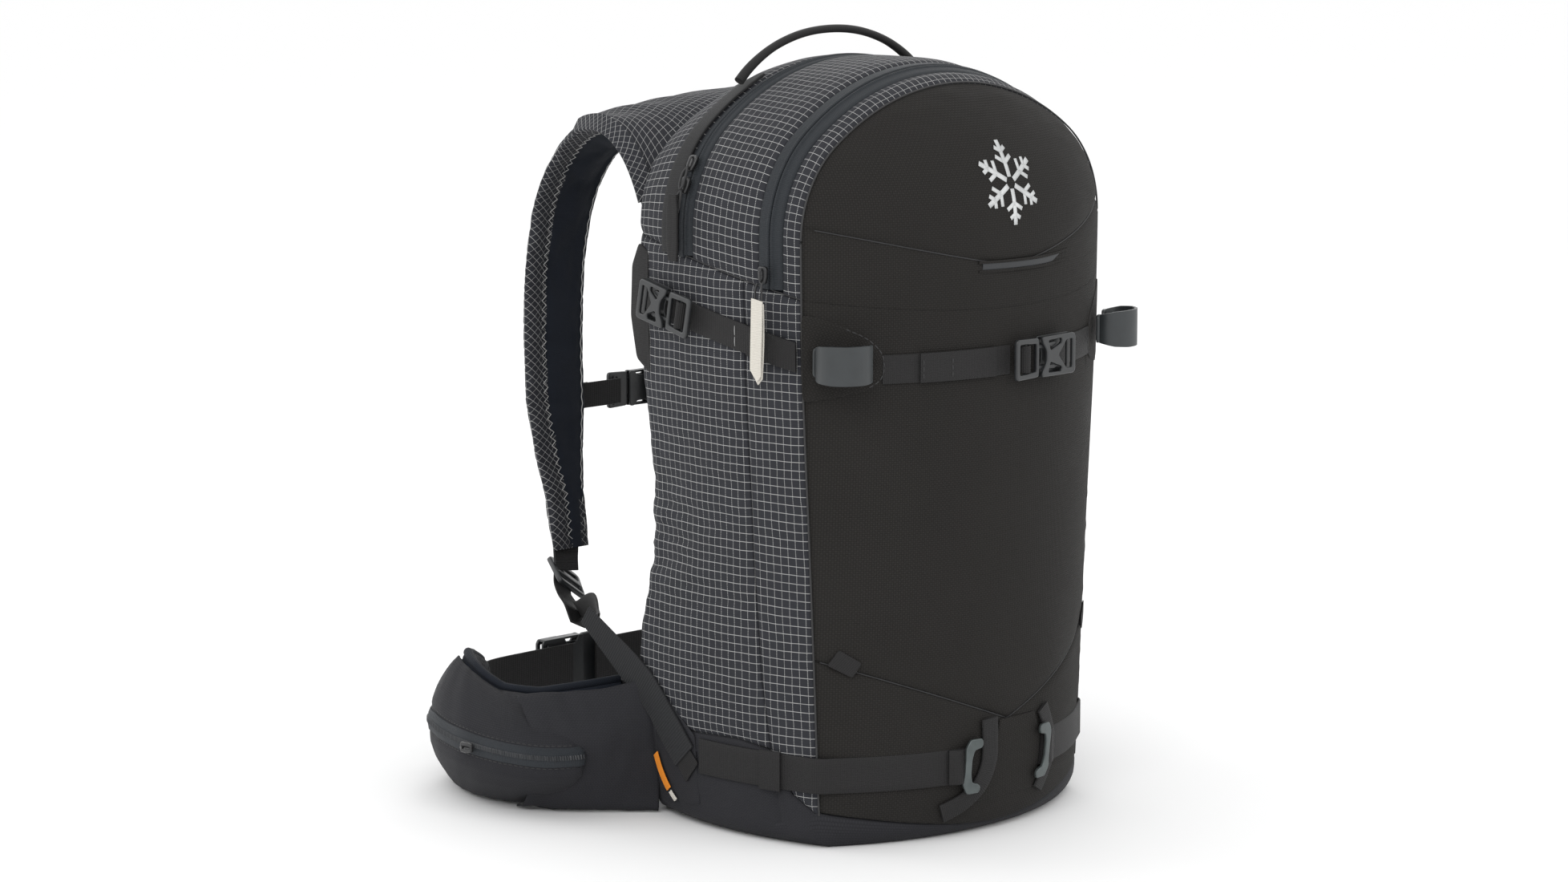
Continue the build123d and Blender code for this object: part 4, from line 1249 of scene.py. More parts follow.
x = np.linspace(-1, 1, 120)
w = seam_width(100.0) - 2
seam_line("v_seam_line", front_at(x * w, v_seam(x * w), np.full(120, -1.1)), "root")
seam_line("smile_seam_line", front_at(x * 143, smile_seam(x * 143), np.full(120, -0.9)), "pocket_flap")
q = np.linspace(float(fold_z(SEAM_Y)), OUTLINE - float(fold_z(SEAM_Y)), 200)
seam_line("front_seam_line", band(q, 0.0) + np.array([0, -0.6, 0]), "pocket_flap", 0.7)
for side, mirror in (("left", False), ("right", True)):
    q = np.linspace(24, float(fold_z(SEAM_Y)), 100)
    seam_line("seam_line_" + side, flipped(band(q, 0.0) + np.array([0, -0.6, 0]), mirror), "root", 0.7)
    y = np.linspace(SEAM_Y, POCKET_ZIP_Y - 1, 12)
    line = side_at(y, fold_z(y) + 0.6, np.full(12, -0.9))
    seam_line("flap_fold_line_" + side, flipped(line, mirror), "pocket_flap")
    y = np.linspace(POCKET_ZIP_Y + 1, MAIN_ZIP_Y - 1, 30)
    line = side_at(y, fold_z(y) + 0.6, np.full(30, -0.9))
    seam_line("hood_fold_line_" + side, flipped(line, mirror), "main_lid")

# the front strap, its folded end and its stitches
left_strap = front_strap_piece(
    "front_strap_left", [(-104, 333), (-50, 333), (-6, 333)], 10, WEBBING, "root", "webbing"
)
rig.replaces(left_strap, "front_strap")
front_strap_piece(
    "front_strap_fold", [(-80, 333), (-50, 333), (-20, 333)], 10.2, WEBBING, "root", "webbing", 2.1, 1.5
)
front_strap_piece("front_strap_right", [(44, 333), (75, 333), (106, 333.5)], 10, WEBBING, "root", "webbing")
for k, x in enumerate((-57.0, -78.0)):
    z = np.linspace(324.5, 341.5, 12)
    line = front_at(np.full(12, x), z, np.full(12, 3.7))
    attach(stitches(f"front_strap_stitch_{k}", line, front_normal(np.full(12, x), z), THREAD), "root")

# loop patches, loops and tabs
PATCH = [(-150, 311), (-112, 319), (-104, 325), (-103.5, 345), (-110, 353), (-128, 364), (-151, 373)]
TAB = [(-131, 130), (-117, 121), (-112, 131), (-125, 141)]
LOOP_FRAME = frame_at((-131, -83, 340.0), (0.831, -0.556, 0), (-0.556, -0.831, 0))
LOOP_PATH = [(-16, 0, 3.4), (-18, 0, 8), (-17.5, 0, 15), (-13, 0, 22.5), (-5, 0, 27), (5, 0, 27)]
LOOP_PATH += [(13, 0, 22.5), (17.5, 0, 15), (18, 0, 8), (16, 0, 3.4)]
patch = fan_patch("loop_patch_left", PATCH, on_front(2.0), BALLISTIC, 1.5, 0.5, 7)
attach(patch, "root", "ballistic", ("loop_patches",))
inner = [(x * 0.93 + -127 * 0.07, z * 0.93 + 342 * 0.07) for x, z in PATCH[1:6]]
line = smooth_path(np.array(inner), 60)
stitch = stitches("loop_patch_stitch_left", front_at(line[:, 0], line[:, 1], np.full(60, 2.0)),
                  front_normal(line[:, 0], line[:, 1]), THREAD)
attach(stitch, "root")
tab = fan_patch("gear_tab_left", TAB, on_front(2.4), WEBBING, 2.2, 0.95, 1.5)
attach(tab, "root", "webbing", ("gear_tabs",))
loop = ribbon("ski_loop_band_left", LOOP_FRAME(LOOP_PATH), (0, 0, 1), 13.3, RUBBER, 2.3,
              halves=[10, 12.6, 13.4, 13.4, 13.4, 12.6, 10], count=70)
attach(loop, "root", "loop_rubber", ("ski_loop_left",))
foot = []
for k in (-1, 1):
    outline = [(k * 15 - 5, -10), (k * 15 + 5, -10), (k * 15 + 5, 10), (k * 15 - 5, 10)]
    foot.append(plate(f"ski_loop_foot_{k + 1}", [rounded(outline, 3)], 2.6,
                      lambda p: LOOP_FRAME(p + np.array([0, 0, 3.0])), RUBBER, 0.8))
for piece in foot:
    attach(piece, "root", "loop_rubber")
for piece in [patch, stitch, tab, loop, *foot]:
    twin = mirror_piece(
        piece, piece.name.replace("left", "right") if "left" in piece.name else piece.name + "_right"
    )
    nodes = ("ski_loop_right",) if piece is loop else ()
    attach(twin, "root", piece.get("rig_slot"), nodes)

# the slit pocket under the smile seam
place, s = front_path([(-30, 398.2), (0, 397.6), (30, 397.6), (60, 399.2)])
slit = strap_on("slit_zip", place, s, 2.6, COIL, -1.0, 1.5)
attach(slit, "pocket_flap", "zip_tape")
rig.replaces(slit, "accessory_pocket_zip")
for k, rise in enumerate((3.2, -3.0)):
    place, s = front_path([(-34, 398.2 + rise), (0, 397.6 + rise), (30, 397.6 + rise), (64, 399.2 + rise)])
    attach(strap_on(f"slit_lip_{k}", place, s, 0.9, BALLISTIC, 0.4, 1.0), "pocket_flap", "ballistic")

# the pick pocket, its loops and the hooks
PICK = [(-10, 81), (28, 81), (37, 62), (38, 24), (-38, 24), (-15, 45)]
pick = fan_patch("pick_pocket_cloth", PICK, on_front(2.0), BALLISTIC, 1.6, 0.2, 2)
attach(pick, "root", "ballistic", ("pick_pocket",))
pick_left = front_strap_piece("pick_loop_left", [
    (-21, 84), (-19.5, 66), (-19.5, 52), (-25, 38), (-38, 27), (-55, 20)
],
                              7, WEBBING, "root", "webbing", 2.6, 1.7)
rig.replaces(pick_left, "pick_loops")
front_strap_piece("pick_loop_right", [(35, 83), (43, 69), (49, 55), (48, 42), (38, 23)], 6, WEBBING, "root",
                  "webbing", 2.6, 1.7)
HOOK_LINE = [(-39, 33), (-29, 33), (-28, 37), (-30, 39.5), (-35.5, 41), (-37, 47), (-37, 58), (-35.5, 64)]
HOOK_LINE += [(-29, 65.5), (-28.5, 69), (-30, 72), (-39, 72), (-42.5, 66), (-42, 58), (-42, 47), (-43, 40)]
for side, mirror in (("left", False), ("right", True)):
    def hook_place(p, mirror=mirror):
        return flipped(front_at(p[:, 0], p[:, 1], p[:, 2] + 6.2), mirror)

    piece = plate("hook_plate_" + side, [rounded(HOOK_LINE, 1.5, 3)], 2.6, hook_place, HOOK, 0.7)
    if mirror:
        piece.data.flip_normals()
    attach(piece, "hook_" + side, "hook_metal", ("g_hook_" + side,))


# ------------------------------------------------------------------ straps round the sides
def wrap_place(low_y, end_x, z, mirror):
    """A level strap from the side at low_y, round the front seam, to end_x on the front."""
    side_y = np.linspace(low_y, SEAM_Y, int((low_y - SEAM_Y) / 2))
    front_x = np.linspace(-float(seam_width(z)), end_x, int((seam_width(z) + end_x) / 2))
    points = np.concatenate([side_at(side_y, np.full(side_y.shape, z), np.zeros(side_y.shape)),
                             front_at(front_x[1:], np.full(front_x.shape, z)[1:], np.zeros(len(front_x) - 1))])
    kernel = np.hanning(9)[1:-1]
    kernel /= kernel.sum()
    padded_points = np.pad(points, ((3, 3), (0, 0)), mode="reflect", reflect_type="odd")
    points = np.stack([np.convolve(padded_points[:, k], kernel, "valid") for k in range(3)], axis=-1)
    s = lengths(points)
    ahead = np.gradient(points, axis=0)
    ahead /= np.linalg.norm(ahead, axis=1, keepdims=True)
    out = np.cross(ahead, np.array([0, 0, 1.0]))
    corner = near(points[:, 1], SEAM_Y, 9) * 1.4

    def place(along, across, lift):
        here = np.stack([np.interp(along, s, points[:, k]) for k in range(3)], -1)
        way = np.stack([np.interp(along, s, out[:, k]) for k in range(3)], -1)
        extra = np.interp(along, s, corner)
        moved = here + way * (lift + extra)[..., None]
        moved[..., 2] += across
        return flipped(moved, mirror)

    return place, s


def slant_place(mirror, drop=0.0):
    def place(y, across, lift):
        return flipped(side_at(y, side_strap_z(y) + across, lift + drop), mirror)

    return place


for side, mirror in (("left", False), ("right", True)):
    place, s = wrap_place(35.5, -37.5, LOWER_STRAP_Z, mirror)
    low_strap = strap_on("lower_strap_" + side, place, s, 12.5, WEBBING, 0.6, 1.7)
    attach(low_strap, "root", "webbing", ("lower_straps",) if side == "left" else ())
    run = np.linspace(s[-1] - 16, s[-1] + 0.0, 12)
    hump = 2.4 + 2.4 * np.sin(np.linspace(0, math.pi, 12))

    def hump_place(along, across, lift, place=place, run=run, hump=hump):
        return place(along, across, lift + np.interp(along, run, hump))

    attach(strap_on("lower_strap_fold_" + side, hump_place, run, 12.3, WEBBING, 0.0, 1.6), "root", "webbing")
    keeper = strap_on("lower_strap_keeper_" + side, place, np.linspace(57, 74, 10), 14.0, WEBBING, 2.4, 1.8)
    attach(keeper, "root", "webbing")
    y = np.linspace(84, -60, 60)
    strap = strap_on("compression_strap_" + side, slant_place(mirror), y, 10, WEBBING, 0.5, 1.7)
    attach(strap, "root", "webbing", ("compression_straps",) if side == "left" else ())
    y = np.linspace(-20, -61.5, 24)
    tail = strap_on("compression_tail_" + side, slant_place(mirror, 1.8), y, 10.3, WEBBING, 0.5, 1.6)
    attach(tail, "root", "webbing")
    across = np.linspace(-8.5, 8.5, 12)
    y = np.full(12, -9.0)
    line = flipped(side_at(y, side_strap_z(y) + across, np.full(12, 2.2)), mirror)
    attach(stitches("compression_stitch_" + side, line, flipped(np.tile([-1.0, 0, 0], (12, 1)), mirror),
                    PALE_THREAD, 6.5, 1.0), "root")
    tab = [(54, 67), (36, 47), (50, 31), (64, 50)]
    piece = fan_patch("gusset_tab_" + side, tab, on_side(3.2), WEBBING, 2.2, 0.8, 1.5)
    if mirror:
        piece.data.transform(Matrix.Scale(-1, 4, (1, 0, 0)))
        piece.data.flip_normals()
    attach(piece, "root", "webbing")

# ------------------------------------------------------------------ buckles
def buckle(
    name, origin, along, out, width, socket, clip, reach, thick, bodies, nodes, mirror=False, solid=False
):
    """Side-release buckle: a socket along +x from 0 and a clip behind it, X-shaped or closed."""
    place = frame_at(origin, along, out, mirror)
    half = width / 2

    def lifted(height):
        return lambda p: place(p + np.array([0, 0, height]))

    outline = [(0.5, half), (socket - 2, half + 0.2), (socket, half - 2), (socket, -half + 2)]
    outline += [(socket - 2, -half - 0.2), (0.5, -half), (1.5, -half + 4), (6, -4), (6, 4), (1.5, half - 4)]
    far = socket - 3.4
    top_window = [(7.5, half - 2.8), (socket * 0.58, half - 2.4), (socket * 0.6, half - 5.5), (10, 4.0)]
    low_window = [(a, -b) for a, b in top_window[::-1]]
    end_window = [(socket * 0.5, 0), (far - socket * 0.17, half - 4), (far, half - 4), (far, -half + 4),
                  (far - socket * 0.17, -half + 4)]
    slot_window = [(far - 2.5, half - 4), (far, half - 4), (far, -half + 4), (far - 2.5, -half + 4)]
    if solid:
        dent = min(half * 0.26, 6.0)
        outline = [
            (0, half), (5, half), (7, half - dent), (17, half - dent), (19.5, half), (socket - 2, half)
        ]
        outline += [(socket, half - 3)]
        outline += [(x, -y) for x, y in outline[::-1]]
        end_window = slot_window
    loops = [rounded(outline, 2.5), rounded(end_window, 1.5)]
    if not solid:
        loops += [rounded(top_window, 1.5), rounded(low_window, 1.5)]
    shell = plate(name + "_socket_top", loops, 2.6, lifted(thick - 1.9), ACETAL, 0.8)
    under = plate(name + "_socket_under", [rounded(outline, 2.5), rounded(end_window, 1.5)], 1.6, lifted(1.3),
                  ACETAL, 0.5)
    rails = []
    for k in (-1, 1):
        edge = [
            (1.5, k * (half - 0.2)), (socket - 2, k * half), (socket - 2, k * (half - 1.8)),
            (2.5, k * (half - 2))
        ]
        rails.append(plate(
            f"{name}_rail_{k + 1}", [rounded(edge, 0.6, 3)], thick - 2.5, lifted(thick / 2), ACETAL, 0.4
        ))
    mouth = -0.2 if solid else -1
    frame_line = [(-clip, -half - 0.3), (-clip, half + 0.3), (mouth, half - 0.4), (mouth, -half + 0.4)]
    hole = [(-clip + 3.8, -half + 3.6), (-clip + 3.8, half - 3.6), (-4, half - 4.4), (-4, -half + 4.4)]
    if solid:
        hole = [
            (-clip + 3.5, -half + 4), (-clip + 3.5, half - 4), (-clip * 0.57, half - 4),
            (-clip * 0.57, -half + 4)
        ]
    frame_piece = plate(name + "_clip_frame", [
        rounded(frame_line, 3), rounded(hole, 1.5)
    ], 3.2, lifted(thick * 0.55),
                        ACETAL, 1.0)
    bar_x = -clip * (0.72 if solid else 0.52)
    bar = [
        (bar_x - 1.3, -half + 2), (bar_x - 1.3, half - 2), (bar_x + 1.3, half - 2), (bar_x + 1.3, -half + 2)
    ]
    bar_piece = plate(name + "_clip_bar", [bar], 2.2, lifted(thick * 0.4), ACETAL, 0.6)
    prongs = []
    for k in (-1, 1):
        arm = [(-3, k * (half - 5.5)), (reach * 0.8, k * (half - 4.4)), (reach, k * (half - 5.4)),
               (reach * 0.85, k * (half - 8)), (4, k * (half - 7.8)), (-3, k * (half - 8.2))]
        prongs.append(plate(
            f"{name}_prong_{k + 1}", [rounded(arm, 1)], 2.0, lifted(thick * 0.48), ACETAL, 0.6
        ))
    wrap_path = place(np.array([(bar_x - 4.6, 0, 0.6), (bar_x - 2.6, 0, 4.6), (bar_x, 0, thick * 0.4 + 3.2),
                                (bar_x + 2.6, 0, 4.4), (bar_x + 4.2, 0, 0.4)]))
    wide = place(np.array([(0, 1, 0)])) - place(np.array([(0, 0, 0)]))
    wrap = ribbon(name + "_wrap", wrap_path, wide[0], half - 4.6, WEBBING, 1.4, count=20)
    socket_body, clip_body = bodies
    for piece in [shell, under, *rails]:
        if mirror:
            piece.data.flip_normals()
        attach(piece, socket_body, "buckle_plastic")
    for piece in [frame_piece, bar_piece, *prongs]:
        if mirror:
            piece.data.flip_normals()
        attach(piece, clip_body, "buckle_plastic")
    attach(wrap, clip_body, "webbing")
    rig.replaces(shell, *nodes[0])
    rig.replaces(frame_piece, *nodes[1])
    return place


cos4, sin4 = math.cos(math.radians(4)), math.sin(math.radians(4))
buckle("front_buckle", (16, -125.1, 333), (cos4, sin4, 0), (sin4, -cos4, 0), 28, 38, 26, 21, 8,
       ("root", "front_clip"), (["front_buckle_socket"], ["front_buckle_clip"]))
for side, mirror in (("left", False), ("right", True)):
    buckle("side_buckle_" + side, (-158.5, 52, 365.8), (0.075, 1, 0.205), (-1, 0.075, 0), 28, 30, 24, 17, 8,
           ("root", "side_clip_" + side),
           (["side_buckle_sockets"] if side == "left" else [], ["side_buckle_clip_" + side]), mirror)

# ------------------------------------------------------------------ sliders, pulls and handle
def slider_piece(name, place, body, node, slot="slider_metal"):
    """Zip slider: a shield-shaped body and its bridge. Local x runs up the zip."""
    shield = [(-6, -2.6), (-6, 2.6), (-1, 4), (4.5, 4), (6, 2.5), (6, -2.5), (4.5, -4), (-1, -4)]
    core = plate(
        name, [rounded(shield, 1.2, 4)], 3.0, lambda p: place(p + np.array([0, 0, 1.6])), SLIDER, 0.9
    )
    attach(core, body, slot, (node,))
    bridge = tube(name + "_bridge", place(np.array([(-4.5, 0, 2.6), (-3.4, 0, 4.2), (0, 0, 4.7), (3.4, 0, 4.2),
                                                    (4.5, 0, 2.6)])), 0.75, SLIDER, 8, 16, across=(0, 1, 0))
    attach(bridge, body, slot)
    return core


SLIDER_X = -(HALF_WIDTH + 2.4)
PULL_X = SLIDER_X - 5.0
for name, turn, body, node in (("main_slider_low", 19.5, "lower_slider", "main_slider_lower"),
                               ("main_slider_high", 29.5, "upper_slider", "main_slider_upper")):
    angle = math.radians(turn)
    radial = np.array([-math.cos(angle), 0, math.sin(angle)])
    centre = np.array([-ARCH_X, MAIN_ZIP_Y, SPRING]) + radial * (SHOULDER_R + 1.4)
    place = frame_at(centre, (math.sin(angle), 0, math.cos(angle)), radial)
    slider_piece(name, place, body, node)
    eye = place(np.array([(-4.0, 0, 4.4), (-8, 1.6, 4.8), (-13, 1.9, 4.4), (-18.5, 1.3, 3.6), (-20.5, 0, 3.4),
                          (-18.5, -1.3, 3.6), (-13, -1.9, 4.4), (-8, -1.6, 4.8), (-4.0, 0, 4.4)]))
    attach(tube(name + "_cord", eye, 0.85, THREAD, 8, 60, across=(1, 0, 0)), body, "slider_metal")
tool_place = frame_at((SLIDER_X, POCKET_ZIP_Y, 397), (0, 0, 1), (-1, 0, 0))
slider_piece("pocket_slider_body", tool_place, "tool_slider", "pocket_slider")
for k in (-1, 1):
    wire = [(PULL_X + 0.2, POCKET_ZIP_Y + k * 2.0, 391.5), (PULL_X - 0.6, POCKET_ZIP_Y + k * 2.6, 389),
            (PULL_X - 0.9, POCKET_ZIP_Y + k * 3.0, 381), (PULL_X - 0.9, POCKET_ZIP_Y + k * 2.2, 377.5)]
    attach(
        tube(f"pocket_pull_wire_{k + 1}", wire, 0.7, SLIDER, 8, 20, across=(0, 1, 0)), "tool_pull",
        "slider_metal"
    )
pull_line = [(-5.2, 380), (5.0, 381.5), (5.2, 333), (-1.5, 325), (-5.0, 329)]
for k, gap in enumerate((0.0, 1.7)):
    def pull_place(p, gap=gap, k=k):
        along = (381 - p[:, 1]) / 56
        sway = 0.9 * np.sin(along * 3.0) * (1 if k else -0.4)
        return np.stack(
            [PULL_X - 2.4 + gap - p[:, 2] + sway, POCKET_ZIP_Y + p[:, 0] + 1.2 * along**2, p[:, 1]], -1
        )

    line = [(a + k * 0.7, b - k * 2.0) for a, b in pull_line]
    dense = []
    for a, b in zip(line, line[1:] + line[:1]):
        steps = max(1, int(math.dist(a, b) / 3))
        dense += [(a[0] + (b[0] - a[0]) * j / steps, a[1] + (b[1] - a[1]) * j / steps) for j in range(steps)]
    piece = plate(f"pocket_pull_tape_{k}", [dense], 1.3, pull_place, PULL, 0.3)
    coords = np.zeros(len(piece.data.vertices) * 3)
    piece.data.vertices.foreach_get("co", coords)
    coords = coords.reshape(-1, 3) / MM
    data = piece.data.attributes.new("weave", "FLOAT_VECTOR", "POINT").data
    data.foreach_set(
        "vector", np.stack([coords[:, 1], coords[:, 2], coords[:, 0]], -1).astype(np.float32).ravel()
    )
    piece.data.flip_normals()
    attach(piece, "tool_pull", "pull_pale", ("pocket_pull",) if k == 0 else ())
main_pull_path = [
    (PULL_X - 1.6, MAIN_ZIP_Y + 0.5, 446), (PULL_X - 1.8, MAIN_ZIP_Y + 0.6, 425),
    (PULL_X - 1.2, MAIN_ZIP_Y + 1.0, 400)
]
piece = ribbon(
    "main_pull_tape", main_pull_path, (0, 1, 0), 5.2, WEBBING, 1.8, halves=[4.2, 5.2, 5.2, 5.2, 4.4], count=24
)
attach(piece, "lower_pull", "webbing", ("main_pull",))

HANDLE_PATH = [
    (-90, 518.5), (-84, 524), (-64, 537), (-34, 547.5), (0, 551), (34, 547.5), (64, 537), (84, 524),
    (90, 518.5)
]
handle_points = [(x, MAIN_ZIP_Y + 13, z) for x, z in HANDLE_PATH]
radii = np.interp(np.linspace(0, 1, 90), [0, 0.08, 0.2, 0.8, 0.92, 1], [3.9, 3.7, 3.3, 3.3, 3.7, 3.9])
handle = tube("haul_handle_roll", handle_points, radii, WEBBING, 16, 90, squash=0.86, across=(0, 1, 0))
attach(handle, "handle", "webbing", ("haul_handle",))
for side, mirror in (("left", False), ("right", True)):
    def band_place(q, across, lift, mirror=mirror):
        v = depth_share(q, MAIN_ZIP_Y + 15 + across)
        return flipped(band(q, v) + band_normal(q, v) * np.asarray(lift)[..., None], mirror)

    q = np.linspace(404, SPRING + SHOULDER_ARC + 62, 80)
    wide = np.interp(np.linspace(0, 1, 80), [0, 0.85, 1], [8.0, 7.5, 4.4])
    strip = strap_on("handle_band_" + side, band_place, q, 8.0, WEBBING_FINE, 1.0, 1.6, wide)
    attach(strip, "root", "webbing")


# ------------------------------------------------------------------ badge: a generic six-armed snow crystal
def crystal(name, middle, size, place, body, material):
    """Six bars from the middle with two short branches each."""
    verts, faces = [], []

    def bar(a, b, half):
        a, b = np.array(a, float), np.array(b, float)
        go = (b - a) / np.linalg.norm(b - a)
        side = np.array([-go[1], go[0]]) * half
        steps = max(2, int(np.linalg.norm(b - a) / (size * 0.12)))
        base = len(verts)
        for k in range(steps + 1):
            here = a + (b - a) * k / steps
            verts.extend([here + side, here - side])
        for k in range(steps):
            i = base + 2 * k
            faces.append((i, i + 1, i + 3, i + 2))

    width = size * 0.062
    for k in range(6):
        angle = math.pi / 2 + k * math.pi / 3
        go = np.array([math.cos(angle), math.sin(angle)])
        bar(go * size * 0.14, go * size, width)
        for share, reach in ((0.48, 0.30), (0.74, 0.20)):
            for way in (-1, 1):
                turned = angle + way * math.pi / 3
                start = go * size * share
                bar(start, start + np.array([math.cos(turned), math.sin(turned)]) * size * reach, width * 0.8)
    flat = np.array(verts)
    level = np.array([0.0 + 0.012 * (k % 7) for k in range(len(flat))])
    points = place(middle[0] + flat[:, 0], middle[1] + flat[:, 1], level)
    piece = add_mesh(name, points, faces, material)
    normal = np.mean([p.normal for p in piece.data.polygons], axis=0)
    if normal[1] > 0:
        piece.data.flip_normals()
    solid = piece.modifiers.new("thickness", "SOLIDIFY")
    solid.thickness, solid.offset = 0.25 * MM, 1
    return attach(piece, body)


crystal("badge_crystal", (0, 453), 28,
        lambda x, z, lift: front_point(x, z, 0.12) + front_normal(x, z) * lift[..., None],
        "pocket_flap", PRINT)


# ------------------------------------------------------------------ padded fabric
def puffed(piece, pinned, pressure=4.0, frames=16, cap=6.0, stretch=0.0):
    """Inflates a padded piece with a short cloth simulation, holding its seams."""
    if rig.quick():
        return piece
    mesh = piece.data
    before = np.zeros(len(mesh.vertices) * 3)
    mesh.vertices.foreach_get("co", before)
    group = piece.vertex_groups.new(name="seams")
    group.add([int(k) for k in np.flatnonzero(pinned)], 1.0, "REPLACE")
    scene = bpy.context.scene
    scene.frame_set(1)
    cloth = piece.modifiers.new("cloth", "CLOTH")
    settings = cloth.settings
    settings.quality = 6
    settings.mass = 0.25
    settings.tension_stiffness = settings.compression_stiffness = 12
    settings.shear_stiffness = 6
    settings.bending_stiffness = 0.4
    settings.use_pressure = True
    settings.uniform_pressure_force = pressure
    settings.shrink_min = -stretch
    settings.vertex_group_mass = "seams"
    settings.effector_weights.gravity = 0
    cloth.point_cache.frame_start = 1
    cloth.point_cache.frame_end = frames
    for frame in range(1, frames + 1):
        scene.frame_set(frame)
    moved = piece.evaluated_get(bpy.context.evaluated_depsgraph_get()).to_mesh()
    after = np.zeros(len(mesh.vertices) * 3)
    if len(moved.vertices) == len(mesh.vertices):
        moved.vertices.foreach_get("co", after)
    else:
        after = before.copy()
    piece.modifiers.remove(cloth)
    piece.vertex_groups.remove(group)
    scene.frame_set(1)
    shift = (after - before).reshape(-1, 3)
    size = np.linalg.norm(shift, axis=1, keepdims=True) + 1e-9
    limit = cap * MM
    shift = shift / size * (limit * np.tanh(size / limit))
    mesh.vertices.foreach_set("co", (before.reshape(-1, 3) + shift).ravel())
    mesh.update()
    return piece


def tube_mesh(name, rings, weave, materials, face_material):
    """A closed skin from rings of points, one ring per step, with its ends closed."""
    rows, cols = rings.shape[:2]
    faces = grid_faces(rows, cols, closed=True)
    groups = list(np.asarray(face_material).ravel())
    for row, order in ((0, 1), (rows - 1, -1)):
        ring_index = list(range(row * cols, (row + 1) * cols))[::order]
        faces.append(tuple(ring_index))
        groups.append(groups[0])
    piece = add_mesh(
        name, rings.reshape(-1, 3), faces, materials, face_material=groups, weave=weave.reshape(-1, 3)
    )
    fix_normals(piece)
    return piece


def zigzag(name, points, across, out, reach, step, body, material=None, lift=0.3):
    """An overlock seam: a zigzag of thread along a line."""
    s = lengths(points)
    marks = np.arange(0, s[-1], step)
    here = np.stack([np.interp(marks, s, points[:, k]) for k in range(3)], -1)
    side = np.stack([np.interp(marks, s, across[:, k]) for k in range(3)], -1)
    up = np.stack([np.interp(marks, s, out[:, k]) for k in range(3)], -1)
    sign = np.where(np.arange(len(marks)) % 2 == 0, 1.0, -1.0)[:, None]
    line = here + side * sign * reach + up * lift
    return attach(tube(name, line, 0.34, material or SEAM_PALE, 5), body)


# ------------------------------------------------------------------ shoulder straps
PAD_PATH = [(140, 486), (160, 486), (184, 482), (211, 473), (238, 454), (259, 424), (271, 383)]
PAD_PATH += [(275, 330), (273, 272), (270, 231), (266, 200), (259, 160)]
PAD_OUTER = [
    (150, -84), (200, -85), (231, -91), (272, -97), (330, -97), (400, -97), (455, -101), (486, -112),
    (530, -114)
]
PAD_INNER = [(150, -50), (200, -49), (263, -42), (330, -40), (455, -39), (530, -36)]


def table_at(rows, value):
    return np.interp(value, [r[0] for r in rows], [r[1] for r in rows])


pad_line = smooth_path([(0, y, z) for y, z in PAD_PATH], 130)
pad_s = lengths(pad_line)
pad_ahead = np.gradient(pad_line, axis=0)
pad_ahead /= np.linalg.norm(pad_ahead, axis=1, keepdims=True)
pad_out = np.stack([0 * pad_s, -pad_ahead[:, 2], pad_ahead[:, 1]], -1)  # away from the wearer
pad_xo, pad_xi = table_at(PAD_OUTER, pad_line[:, 2]), table_at(PAD_INNER, pad_line[:, 2])
BINDING = 15.0  # width of the binding along the strap's outer edge


def pad_section():
    """Distance share across and height share round the strap's section, lining face first."""
    a = np.sin(np.linspace(-1, 1, 23) * math.pi / 2 * 0.93)
    a = a / a[-1]
    return np.concatenate([a, a[::-1][1:-1]]), np.concatenate([-np.ones(23), np.ones(21)])


pad_a, pad_face = pad_section()
half = (pad_xi - pad_xo)[:, None] / 2
middle = (pad_xi + pad_xo)[:, None] / 2
PAD_THICK = 11.0  # depth of a shoulder pad before it is inflated
round_off = np.sqrt(np.clip(1 - np.abs(pad_a) ** 5, 0, 1))[None, :]
from_outer = (pad_a[None, :] + 1) * half
from_inner = (1 - pad_a[None, :]) * half
dip = near(from_outer, BINDING, 3.0) * 1.6 + near(from_inner, 7.0, 2.2) * 0.9
height = pad_face[None, :] * (PAD_THICK / 2 * round_off - np.where(pad_face[None, :] < 0, dip, 0.25 * dip))
end_taper = np.interp(pad_s, [0, 20, pad_s[-1] - 22, pad_s[-1]], [0.7, 1, 1, 0.45])[:, None]
height = height * end_taper
rings = pad_line[:, None] + np.array([1.0, 0, 0]) * (middle + pad_a[None, :] * half)[..., None]
rings = rings + pad_out[:, None] * height[..., None]
pad_weave = np.stack(np.broadcast_arrays(from_outer, pad_s[:, None], 0.0), -1)
face_kind = np.where((pad_face[None, :] > 0) & (from_outer > -1), 1, 0) + 0 * from_outer
face_kind = np.where((pad_face[None, :] < 0) & (from_outer < BINDING), 2, face_kind)
face_kind = np.where(from_outer < 0.4, 2, face_kind)
low_end = (pad_line[:, 2] < 196)[:, None] & (from_inner < 9)
face_kind = np.where(low_end, 2, face_kind).astype(int)[:-1]
SEAM_PALE = moulded("seam_thread_pale", (0.42, 0.42, 0.41), 0.6)
pad = tube_mesh("shoulder_pad_cloth_left", rings, pad_weave, [NAVY, RIPSTOP, RIPSTOP_BIAS], face_kind)
seams = (np.abs(from_outer - BINDING) < 1.5) | (np.abs(from_inner - 7.0) < 1.3)
seams |= np.abs(pad_a[None, :]) > 0.995
seams[:2] = seams[-2:] = True
puffed(pad, seams.ravel(), 3.0, 14, 3.0, 0.01)
twin = mirror_piece(pad, "shoulder_pad_cloth_right")
for piece, side in ((pad, "left"), (twin, "right")):
    attach(piece, "shoulder_" + side, "grid_ripstop", ("shoulder_pad_" + side,))
    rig.padded(piece, 0.6)
rows = slice(12, 128)
